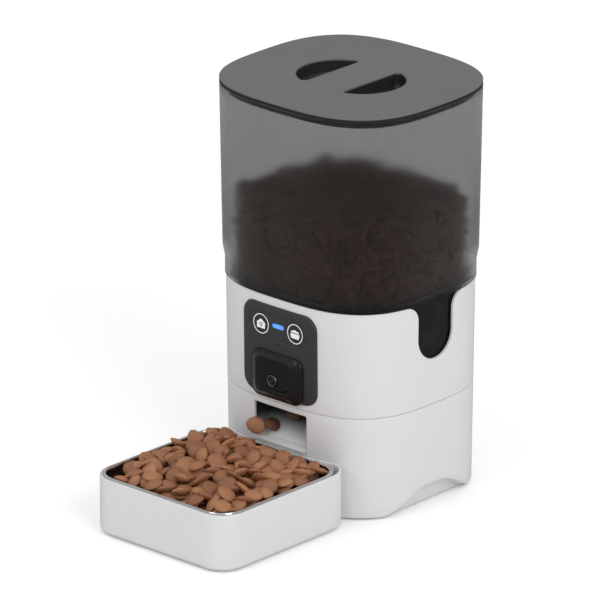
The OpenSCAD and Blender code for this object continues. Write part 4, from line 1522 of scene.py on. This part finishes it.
@dataclass
class Lid:
    """Flat grey lid with two moon-shaped finger pockets."""

    base_z: float = 333.9
    thick: float = 1.5
    moon_r: float = 34.0
    moon_x: float = 12.3
    bar_x: float = 19.3
    moon_depth: float = 14.0
    pan_wall: float = 1.6

    def moon(self, grow: float) -> list[Point2]:
        """Outline of the right pocket, grown outwards, with softened corners."""
        radius = self.moon_r + grow
        left = self.bar_x - grow
        reach = math.degrees(math.acos((left - self.moon_x) / radius))
        corner = 3.0
        points = arc((self.moon_x, 0), radius, -reach + corner * 2.2, reach - corner * 2.2, 32)
        (x1, y1) = points[-1]
        tip_y = radius * sin_of(reach)
        points += [
            (
                x1 + (left - x1) * t * t + 0.35 * (1 - t) * t,
                y1 + (tip_y - 3.6 - y1) * (t * t) + 1.5 * t * (1 - t),
            )
            for t in (0.25, 0.5, 0.75, 1.0)
        ]
        down = [(left, (tip_y - 3.6) * (1 - 2 * k / 14)) for k in range(1, 14)]
        points += down
        points += [(x, -y) for x, y in points[36:32:-1]]
        return points

    def pocket(self, hand: int) -> Shape:
        """Cutter of one scooped pocket."""
        top = self.base_z + self.thick
        levels = [
            (top + 3, 0.9),
            (top + 0.05, 0.9),
            (top - 0.12, 0.45),
            (top - 0.4, 0.12),
            (top - 0.8, 0.0),
            (self.base_z - 3.0, 0.0),
        ]
        floor = self.base_z - self.moon_depth + self.pan_wall
        levels += [(floor + 4.5 - 4.5 * sin_of(a), -4.5 + 4.5 * cos_of(a)) for a in (0, 22, 45, 68, 90)]
        return self.moon_loft(hand, levels)

    def moon_loft(self, hand: int, levels: Sequence[Point2]) -> Shape:
        """Solid through half-moon rings.

        Args:
            hand: 1 for the right pocket, -1 for the left.
            levels: Height and growth of each ring.

        Returns:
            The shape.
        """
        rings = [
            [Vector((hand * x, TOWER.middle_y + hand * y, z)) for x, y in self.moon(grow)]
            for z, grow in levels
        ]
        return Shape().loft(rings)

    def build_plate(self) -> None:
        """Makes the lid's flat top with its rounded edge."""
        top = self.base_z + self.thick
        steps = [
            TOWER.ring(80.0, self.base_z),
            TOWER.ring(40.0, self.base_z),
            TOWER.ring(0.35, self.base_z),
            TOWER.ring(0.0, self.base_z + 0.35),
        ]
        steps += [TOWER.ring(inset, z) for inset, z in lip(0.8, top - 0.8, 0.8, 0, 90, 6)]
        steps += [TOWER.ring(40.0, top), TOWER.ring(80.0, top)]
        plate = Shape().loft(steps).piece("lid_plate_skin", Look.LID)
        carve(plate, self.pocket(1), self.pocket(-1))
        report(plate, "lid", "lid_grey", "lid_plate")

    def build_pan(self) -> None:
        """Makes the dark pan under the pockets."""
        low = self.base_z - self.moon_depth
        top = self.base_z - 0.02
        corners = ((-self.bar_x, -28), (self.bar_x, -28), (self.bar_x, 28), (-self.bar_x, 28))
        bar = [[Vector((x, TOWER.middle_y + y, z)) for x, y in corners]
               for z in (self.base_z - self.pan_wall, top)]
        pan = Shape().loft(bar).piece("lid_grip_pan_skin", Look.LID_DARK)
        sides = []
        for hand in (1, -1):
            levels = [(low, -2.6), (low + 0.8, -0.9), (low + 2.6, 0.6), (low + 5.0, 1.55), (top, 1.55)]
            sides.append(self.moon_loft(hand, levels))
        carve(pan, *sides, join=True)
        carve(pan, self.pocket(1), self.pocket(-1))
        report(pan, "lid", "lid_dark", "lid_grip_pan")

    def build_band(self) -> None:
        """Makes the black sealing band that shows between the lid and the tank."""
        low, high = self.base_z - 2.3, self.base_z - 0.02
        band = TOWER.wall([(0.25, low), (0.1, low + 0.2), (0.1, high), (0.95, high), (0.95, low)])
        report(band.piece("lid_seal_band", Look.SEAL), "lid", "rubber_black")

    def build(self) -> None:
        """Makes the lid's top, pan and sealing band."""
        self.build_plate()
        self.build_pan()
        self.build_band()


@dataclass
class FoodTray:
    """White bowl tray that slides against the tower, with its steel bowl."""

    width: float = 144.4
    top_z: float = 48.0
    foot_gap: float = 1.5
    radius: float = 21.0
    front_y: float = -156.05
    rear_y: float = -9.15
    gap: float = 0.8
    wall: float = 2.2
    floor: float = 2.4
    bowl_inset: float = 1.6
    bowl_r: float = 19.4
    bowl_rear_y: float = -17.96
    bowl_depth: float = 37.0
    steel: float = 0.8

    def outline(self, inward: float) -> list[Point2]:
        """Tray outline at an inset, whose rear side follows the tower's front."""
        middle = (0.0, (self.front_y + self.rear_y) / 2)
        box = rounded_rect(
            self.width - 2 * inward,
            self.rear_y - self.front_y - 2 * inward,
            max(self.radius - inward, 2.0),
            middle,
            sides=28,
        )
        limit = TOWER.inset(self.top_z) - self.gap - inward
        a, b = TOWER.width / 2 - limit, TOWER.depth / 2 - limit
        return [
            (x, min(y, TOWER.middle_y - b * (1 - min(0.999, abs(x / a)) ** TOWER.power) ** (1 / TOWER.power)))
            for x, y in box(0.0)
        ]

    def level(self, inward: float, z: float) -> list[Vector]:
        """Ring of the tray's outline at a height."""
        return [Vector((x, y, z)) for x, y in self.outline(inward)]

    def build_tray(self) -> None:
        """Makes the tray with a rounded foot, a rounded rim and filleted insides."""
        foot = self.foot_gap
        levels = [(30.0, foot), (4.2, foot)]
        levels += [(4.2 - 4.2 * sin_of(a), foot + 4.2 - 4.2 * cos_of(a)) for a in (20, 40, 60, 80, 90)]
        levels += [(0.0, foot + 4.2 + (self.top_z - 0.7 - foot - 4.2) * k / 6) for k in range(1, 6)]
        levels += [(0.7 - 0.7 * cos_of(a), self.top_z - 0.7 + 0.7 * sin_of(a)) for a in (0, 22, 45, 68, 90)]
        levels += [
            (self.wall - 0.5, self.top_z),
            (self.wall - 0.15, self.top_z - 0.15),
            (self.wall, self.top_z - 0.5),
        ]
        low = foot + self.floor
        levels += [
            (self.wall, low + 5.0),
            (self.wall + 0.7, low + 2.2),
            (self.wall + 2.4, low + 0.6),
            (self.wall + 5.0, low),
            (30.0, low),
        ]
        tray = Shape().loft(
            [self.level(inward, z) for inward, z in levels]
        ).piece("bowl_tray_skin", Look.WHITE)
        tabs = []
        for x in (-22.0, 22.0):
            corners = [(x - 5, -16.0), (x + 5, -16.0), (x + 5, -8.5), (x - 5, -8.5)]
            tabs.append(Shape().loft([[Vector((u, v, z)) for u, v in corners] for z in (11.6, 14.4)]))
        carve(tray, *tabs, join=True)
        report(tray, "tray", "white_shell", "bowl_tray")

    def bowl_level(self, inward: float, z: float) -> list[Vector]:
        """Ring of the bowl's outline at a height."""
        width = self.width - 2 * self.bowl_inset - 2 * inward
        low = self.front_y + self.bowl_inset + inward
        high = self.bowl_rear_y - inward
        shape = rounded_rect(
            width, high - low, max(self.bowl_r - inward * 0.55, 4.0), (0, (low + high) / 2), sides=8
        )(0)
        return [Vector((x, y, z)) for x, y in shape]

    def build_bowl(self) -> None:
        """Makes the pressed steel bowl with its rolled rim."""
        top = self.top_z + 0.1
        rim = [
            (0.0, top + 0.05),
            (0.05, top + 0.5),
            (0.25, top + 0.75),
            (0.85, top + 0.8),
            (1.1, top + 0.6),
            (1.3, top - 0.1),
            (1.7, top - 0.1),
            (1.9, top + 0.45),
            (2.15, top + 0.78),
            (2.5, top + 0.72),
            (2.75, top + 0.3),
        ]
        floor = self.top_z - self.bowl_depth + self.steel
        wall = [(2.85 + 5.5 * k / 7, top - 1.0 - (top - 9.0 - floor) * k / 7) for k in range(8)]
        fillet = [(8.4 + 8 - 8 * cos_of(a), floor + 8 - 8 * sin_of(a)) for a in (12, 30, 48, 66, 90)]
        inner = rim + wall + fillet + [(40.0, floor)]
        under = [(i - self.steel * 0.75, z - self.steel) for i, z in [*wall, *fillet, (40.0, floor)]][::-1]
        rings = under + [(1.2, top)] + inner
        report(
            Shape().loft(
                [self.bowl_level(i, z) for i, z in rings]
            ).piece("steel_bowl_skin", Look.STEEL, crease=45),
            "bowl",
            "bowl_steel",
            "steel_bowl",
        )

    def build(self) -> None:
        """Makes the tray and the bowl."""
        self.build_tray()
        self.build_bowl()


@dataclass(frozen=True)
class Pellet:
    """Where one kibble piece lies, in millimetres."""

    middle: Vector
    turn: tuple[float, float, float]
    size: float
    tone: float


@dataclass
class Kibble:
    """Kibble in the tank, on the chute, falling and heaped in the bowl."""

    seed: int = 11
    tray: FoodTray = field(default_factory=FoodTray)

    def __post_init__(self) -> None:
        """Starts the random numbers and the shapes."""
        self.random = random.Random(self.seed)
        self.shapes = bpy.data.collections.new("kibble_shapes")
        for k in range(4):
            self.shapes.objects.link(self.pellet_shape(k))

    def pellet_shape(self, number: int) -> bpy.types.Object:
        """Makes one lumpy bean-shaped kibble at the origin, a little over 60 faces."""
        bm = bmesh.new()
        bmesh.ops.create_icosphere(bm, subdivisions=2, radius=1.0)
        long, wide, high = ((8.3, 6.8, 2.8), (7.8, 7.0, 3.0), (8.6, 6.4, 2.7), (7.6, 6.7, 3.2))[number]
        for vert in bm.verts:
            p = vert.co
            rough = 1 + 0.12 * noise.noise(p * 1.5 + Vector((number * 9.1, 3.3, 1.2)))
            bend = 0.10 * p.x * p.x
            vert.co = Vector(
                (
                    p.x * long * rough,
                    p.y * wide * rough,
                    (math.copysign(abs(p.z) ** 1.45, p.z) * rough - bend) * high,
                )
            ) * MM
        mesh = bpy.data.meshes.new(f"kibble_{number}")
        bm.to_mesh(mesh)
        bm.free()
        mesh.shade_smooth()
        return bpy.data.objects.new(mesh.name, mesh)

    def scatter_tree(self) -> bpy.types.NodeTree:
        """Builds the node tree that puts a kibble shape on every point."""
        tree = bpy.data.node_groups.new("kibble_scatter", "GeometryNodeTree")
        face = tree.interface
        face.new_socket("Points", in_out="INPUT", socket_type="NodeSocketGeometry")
        face.new_socket("Shapes", in_out="INPUT", socket_type="NodeSocketCollection")
        face.new_socket("Seed", in_out="INPUT", socket_type="NodeSocketInt")
        face.new_socket("Size", in_out="INPUT", socket_type="NodeSocketFloat")
        face.new_socket("Material", in_out="INPUT", socket_type="NodeSocketMaterial")
        face.new_socket("Geometry", in_out="OUTPUT", socket_type="NodeSocketGeometry")
        add = tree.nodes.new
        start, end = add("NodeGroupInput"), add("NodeGroupOutput")
        points, shapes, spread = add("GeometryNodeMeshToPoints"), add("GeometryNodeCollectionInfo"), add(
            "GeometryNodeInstanceOnPoints"
        )
        shapes.inputs["Separate Children"].default_value = True
        shapes.inputs["Reset Children"].default_value = True
        spread.inputs["Pick Instance"].default_value = True
        pick = add("FunctionNodeRandomValue")
        pick.data_type = "INT"
        pick.inputs[4].default_value, pick.inputs[5].default_value = 0, 3
        turn, size = add("GeometryNodeInputNamedAttribute"), add("GeometryNodeInputNamedAttribute")
        turn.data_type, size.data_type = "FLOAT_VECTOR", "FLOAT"
        turn.inputs["Name"].default_value, size.inputs["Name"].default_value = "turn", "size"
        rotation = add("FunctionNodeEulerToRotation")
        scale = add("ShaderNodeMath")
        scale.operation = "MULTIPLY"
        real, paint = add("GeometryNodeRealizeInstances"), add("GeometryNodeSetMaterial")
        link = tree.links.new
        link(start.outputs["Points"], points.inputs["Mesh"])
        link(start.outputs["Shapes"], shapes.inputs["Collection"])
        link(start.outputs["Seed"], pick.inputs["Seed"])
        link(points.outputs["Points"], spread.inputs["Points"])
        link(shapes.outputs["Instances"], spread.inputs["Instance"])
        link(pick.outputs[2], spread.inputs["Instance Index"])
        link(turn.outputs["Attribute"], rotation.inputs[0])
        link(rotation.outputs[0], spread.inputs["Rotation"])
        link(size.outputs["Attribute"], scale.inputs[0])
        link(start.outputs["Size"], scale.inputs[1])
        link(scale.outputs[0], spread.inputs["Scale"])
        link(spread.outputs["Instances"], real.inputs["Geometry"])
        link(real.outputs["Geometry"], paint.inputs["Geometry"])
        link(start.outputs["Material"], paint.inputs["Material"])
        link(paint.outputs["Geometry"], end.inputs["Geometry"])
        return tree

    def spread(self, name: str, body: str, pellets: Sequence[Pellet], look: Look = Look.KIBBLE) -> None:
        """Makes one plain mesh of kibble pieces that rides on a body.

        Args:
            name: The object's name.
            body: Its body.
            pellets: Where the pieces lie.
            look: Their finish.
        """
        mesh = bpy.data.meshes.new(name)
        mesh.from_pydata([p.middle * MM for p in pellets], [], [])
        for label, kind, values in (
            ("turn", "FLOAT_VECTOR", [c for p in pellets for c in p.turn]),
            ("size", "FLOAT", [p.size for p in pellets]),
            ("tone", "FLOAT", [p.tone for p in pellets]),
        ):
            layer = mesh.attributes.new(label, kind, "POINT")
            layer.data.foreach_set("vector" if kind == "FLOAT_VECTOR" else "value", values)
        made = bpy.data.objects.new(name, mesh)
        bpy.context.scene.collection.objects.link(made)
        step = made.modifiers.new("scatter", "NODES")
        tree = self.scatter_tree() if "kibble_scatter" not in bpy.data.node_groups else bpy.data.node_groups[
            "kibble_scatter"
        ]
        step.node_group = tree
        sockets = {item.name: item.identifier for item in tree.interface.items_tree if item.in_out == "INPUT"}
        step[sockets["Shapes"]] = self.shapes
        step[sockets["Seed"]] = self.seed
        step[sockets["Size"]] = 1.0
        step[sockets["Material"]] = look.build()
        settle(made, 180.0)
        report(made, body, "")

    def lying(self, middle: Vector, tilt: float, size: float = 1.0) -> Pellet:
        """A piece with a random turn, leaning up to a tilt in radians."""
        turn = (
            self.random.uniform(-tilt, tilt),
            self.random.uniform(-tilt, tilt),
            self.random.uniform(0, 2 * math.pi),
        )
        return Pellet(middle, turn, size * self.random.uniform(0.9, 1.08), self.random.random())

    def heap(self) -> list[Pellet]:
        """Drops pieces one by one into the bowl until it is heaped."""
        tray = self.tray
        half_x = tray.width / 2 - 13.6
        low, high = tray.front_y + 13.6, tray.bowl_rear_y - 12.2
        step = 2.0
        cols, rows = int(2 * half_x / step) + 1, int((high - low) / step) + 1
        floor = tray.top_z - 17.0
        field_z = [[floor] * rows for _ in range(cols)]
        middle = Vector((2.0, (low + high) / 2 + 4))
        pellets = []
        for _ in range(5200):
            x, y = self.random.uniform(-half_x, half_x), self.random.uniform(low, high)
            i, j = int((x + half_x) / step), int((y - low) / step)
            reach = [(a, b) for a in range(i - 3, i + 4) for b in range(j - 3, j + 4)
                     if 0 <= a < cols and 0 <= b < rows and (a - i) ** 2 + (b - j) ** 2 <= 9]
            base = sum(sorted(field_z[a][b] for a, b in reach)[-12:]) / 12
            away = (
                (abs(x - middle.x) / (half_x + 8)) ** 4 + (abs(y - middle.y) / ((high - low) / 2 + 8)) ** 4
            ) ** 0.25
            corner = math.hypot(x + half_x, y - low) / 30
            pile = math.exp(-((x + 38) ** 2 + (y - high + 22) ** 2) / 900)
            top = 58.5 - 8.5 * away ** 2.2 - 8.0 * max(0.0, 1 - corner) + 4.0 * pile
            inward = 0.18 * max(0.0, tray.top_z - base)
            if base + 3.4 > top or abs(x) > half_x - inward or not low + inward < y < high - inward:
                continue
            slope_x = field_z[min(i + 2, cols - 1)][j] - field_z[max(i - 2, 0)][j]
            slope_y = field_z[i][min(j + 2, rows - 1)] - field_z[i][max(j - 2, 0)]
            lean = (
                max(-0.55, min(0.55, slope_y / 10)) + self.random.uniform(-0.22, 0.22),
                max(-0.55, min(0.55, -slope_x / 10)) + self.random.uniform(-0.22, 0.22),
            )
            z = base + 2.3
            pellets.append(
                Pellet(
                    Vector((x, y, z)),
                    (*lean, self.random.uniform(0, 2 * math.pi)),
                    self.random.uniform(0.94, 1.14),
                    self.random.random(),
                )
            )
            for a, b in reach:
                field_z[a][b] = max(field_z[a][b], z + 2.2 - 0.2 * ((a - i) ** 2 + (b - j) ** 2))
        return pellets

    def tank_fill(self) -> list[Pellet]:
        """Pieces along the tank's wall and over the top of its fill."""
        pellets = []
        z = 181.5
        while z < 236.0:
            inset = 16.8 if z < 195 else 13.9
            ring = TOWER.ring(inset, z)
            count = 58
            for k in range(count):
                at = ring[int((k + self.random.random()) * len(ring) / count) % len(ring)]
                inward = Vector((-at.x, TOWER.middle_y - at.y, 0)).normalized() * self.random.uniform(0, 3)
                if self.fill_top(at.x, at.y) > z:
                    pellets.append(self.lying(at + inward + Vector((0, 0, self.random.uniform(-2, 2))), 1.5))
            z += 5.4
        for _ in range(620):
            share = math.sqrt(self.random.random())
            ring = TOWER.ring(0.0, 0.0)
            at = ring[self.random.randrange(len(ring))]
            x, y = at.x * share * 0.84, TOWER.middle_y + (at.y - TOWER.middle_y) * share * 0.83
            pellets.append(self.lying(Vector((x, y, self.fill_top(x, y) + self.random.uniform(-3, 2))), 0.7))
        return pellets

    def fill_top(self, x: float, y: float) -> float:
        """Height of the fill in the tank, a little hollow over the rotor."""
        away = math.hypot(x, y - TOWER.middle_y) / 80
        return 222.0 + 11.0 * min(away, 1.2) ** 1.5 + 5 * noise.noise(Vector((x, y, 0)) * 0.03)

    def build_core(self) -> None:
        """Makes the unseen inside of the fill as one lump, in the darker kibble copy that paints the tank's
        shade.
        """
        rings = [
            TOWER.ring(16.0, 175.6), TOWER.ring(17.0, 180.0), TOWER.ring(20.0, 190.0), TOWER.ring(20.0, 215.0)
        ]
        rings += [
            [Vector((p.x, p.y, self.fill_top(p.x, p.y) - 5)) for p in TOWER.ring(inset, 0)]
            for inset in (19.0, 40.0, 65.0)
        ]
        core = Shape().loft(rings).piece("kibble_core", Look.SHADED_KIBBLE)
        report(core, "food_tank", "")

    def build(self) -> None:
        """Makes every batch of kibble."""
        self.build_core()
        # The tank's kibble uses the darker copy, which paints the shade under the smoked wall.
        self.spread("kibble_in_tank", "food_tank", self.tank_fill(), Look.SHADED_KIBBLE)
        self.spread("kibble_in_bowl", "bowl", self.heap())
        drop = [
            Pellet(Vector((-22.5, -17.5, 62.0)), (1.1, 0.35, 0.4), 1.0, 0.5),
            Pellet(Vector((-14.0, -7.5, 62.5)), (0.75, 0.1, 1.5), 0.95, 0.3),
            Pellet(Vector((-2.0, 5.0, 71.0)), (0.7, 0.1, 0.4), 0.95, 0.3),
            Pellet(Vector((11.0, 14.0, 78.5)), (0.7, 0.1, 2.2), 0.95, 0.1),
        ]
        self.spread("kibble_falling", "tower", drop[:1])
        # The kibble deeper in the chute uses the darker copy, which paints the shade of the passage.
        self.spread("kibble_in_chute", "tower", drop[1:], Look.SHADED_KIBBLE)
        for shape in list(self.shapes.objects):
            bpy.data.objects.remove(shape)
        bpy.data.collections.remove(self.shapes)


@dataclass
class Studio:
    """White studio: camera, pale floor and soft lights."""

    target: Vector = field(default_factory=lambda: Vector((-29.37, 40.93, 149.15)))
    azimuth: float = 0.742
    elevation: float = 0.356
    distance: float = 6672.97
    lens: float = 508.5

    def build_camera(self) -> None:
        """Places the camera of the main view."""
        camera = bpy.data.objects.new("camera", bpy.data.cameras.new("camera"))
        bpy.context.scene.collection.objects.link(camera)
        data = camera.data
        data.lens, data.sensor_width = self.lens, 36.0
        data.clip_start, data.clip_end = 0.05, 60.0
        a, e = self.azimuth, self.elevation
        look = Vector((-math.sin(a) * math.cos(e), math.cos(a) * math.cos(e), -math.sin(e)))
        camera.location = (self.target - look * self.distance) * MM
        camera.rotation_euler = look.to_track_quat("-Z", "Y").to_euler()
        bpy.context.scene.camera = camera

    def build_world(self) -> None:
        """Makes the near-white surroundings, a little brighter overhead."""
        world = bpy.data.worlds.new("studio")
        bpy.context.scene.world = world
        world.use_nodes = True
        world.node_tree.nodes.clear()
        tree = Tree(world.node_tree)
        where = tree.add("ShaderNodeTexCoord")
        split = tree.add("ShaderNodeSeparateXYZ", {0: where.outputs["Generated"]})
        ramp = tree.add("ShaderNodeMapRange", {0: split.outputs["Z"], 1: -0.2, 2: 0.9, 3: 0.55, 4: 1.0})
        paths = tree.add("ShaderNodeLightPath")
        mirrored = tree.math(
            "SUBTRACT", paths.outputs["Is Glossy Ray"], paths.outputs["Is Transmission Ray"], clamp=True
        )
        dimmed = tree.math("MULTIPLY_ADD", mirrored, -0.4)
        dimmed.node.inputs[2].default_value = 1.0
        level = tree.math(
            "MAXIMUM", paths.outputs["Is Camera Ray"], tree.math("MULTIPLY", ramp.outputs[0], dimmed)
        )
        back = tree.add("ShaderNodeBackground", {"Color": (1.0, 1.0, 1.0, 1.0), "Strength": level})
        out = tree.add("ShaderNodeOutputWorld")
        world.node_tree.links.new(back.outputs[0], out.inputs["Surface"])

    def build_light(self, name: str, at: Vector, size: float, power: float) -> None:
        """Adds a soft square light that faces the object.

        Args:
            name: The light's name.
            at: Its place in metres.
            size: Its side in metres.
            power: Its power in watts.
        """
        data = bpy.data.lights.new(name, "AREA")
        data.energy, data.size = power, size
        light = bpy.data.objects.new(name, data)
        light.location = at
        light.rotation_euler = (Vector((0, 0.04, 0.15)) - at).to_track_quat("-Z", "Y").to_euler()
        bpy.context.scene.collection.objects.link(light)

    def build_floor(self) -> None:
        """Adds the white floor."""
        mesh = bpy.data.meshes.new("floor")
        reach = 14.0
        mesh.from_pydata(
            [(-reach, -reach, 0), (reach, -reach, 0), (reach, reach, 0), (-reach, reach, 0)],
            [],
            [(0, 1, 2, 3)],
        )
        material = bpy.data.materials.new("floor_white")
        material.use_nodes = True
        shader = material.node_tree.nodes["Principled BSDF"]
        tree = Tree(material.node_tree)
        paths = tree.add("ShaderNodeLightPath")
        mirrored = tree.math(
            "SUBTRACT", paths.outputs["Is Glossy Ray"], paths.outputs["Is Transmission Ray"], clamp=True
        )
        # Painted reflection: the floor is white to the camera but near black (0.2) to glossy rays, so glossy
        # parts reflect a dark floor.
        tree.tree.links.new(tree.mix(mirrored, grey(0.97), grey(0.2)), shader.inputs["Base Color"])
        shader.inputs["Roughness"].default_value = 0.9
        shader.inputs["Specular IOR Level"].default_value = 0.1
        shader.inputs["Emission Color"].default_value = grey(1.0)
        shader.inputs["Emission Strength"].default_value = 0.08
        tree.tree.links.new(
            tree.math("SUBTRACT", 1.0, tree.add("ShaderNodeNewGeometry").outputs["Backfacing"]),
            shader.inputs["Alpha"],
        )
        mesh.materials.append(material)
        floor = bpy.data.objects.new("floor", mesh)
        bpy.context.scene.collection.objects.link(floor)

    def build(self) -> None:
        """Makes the world, the floor and the lights."""
        scene = bpy.context.scene
        scene.view_settings.view_transform = "Standard"
        self.build_world()
        self.build_floor()
        self.build_light("key_right", Vector((2.7, -0.9, 1.9)), 1.6, 30.0)
        self.build_light("fill_front", Vector((-0.6, -3.0, 2.0)), 1.4, 12.0)


def main() -> None:
    """Builds the scene around the frame."""
    logging.basicConfig(level=logging.INFO, format="%(message)s")
    studio = Studio()
    studio.build_camera()
    dress_nodes()
    housing = Housing()
    housing.build()
    ControlPanel(housing).build()
    CameraBlock().build()
    FoodTank().build()
    Lid().build()
    FoodTray().build()
    Kibble().build()
    studio.build()


if __name__ == "__main__":
    main()
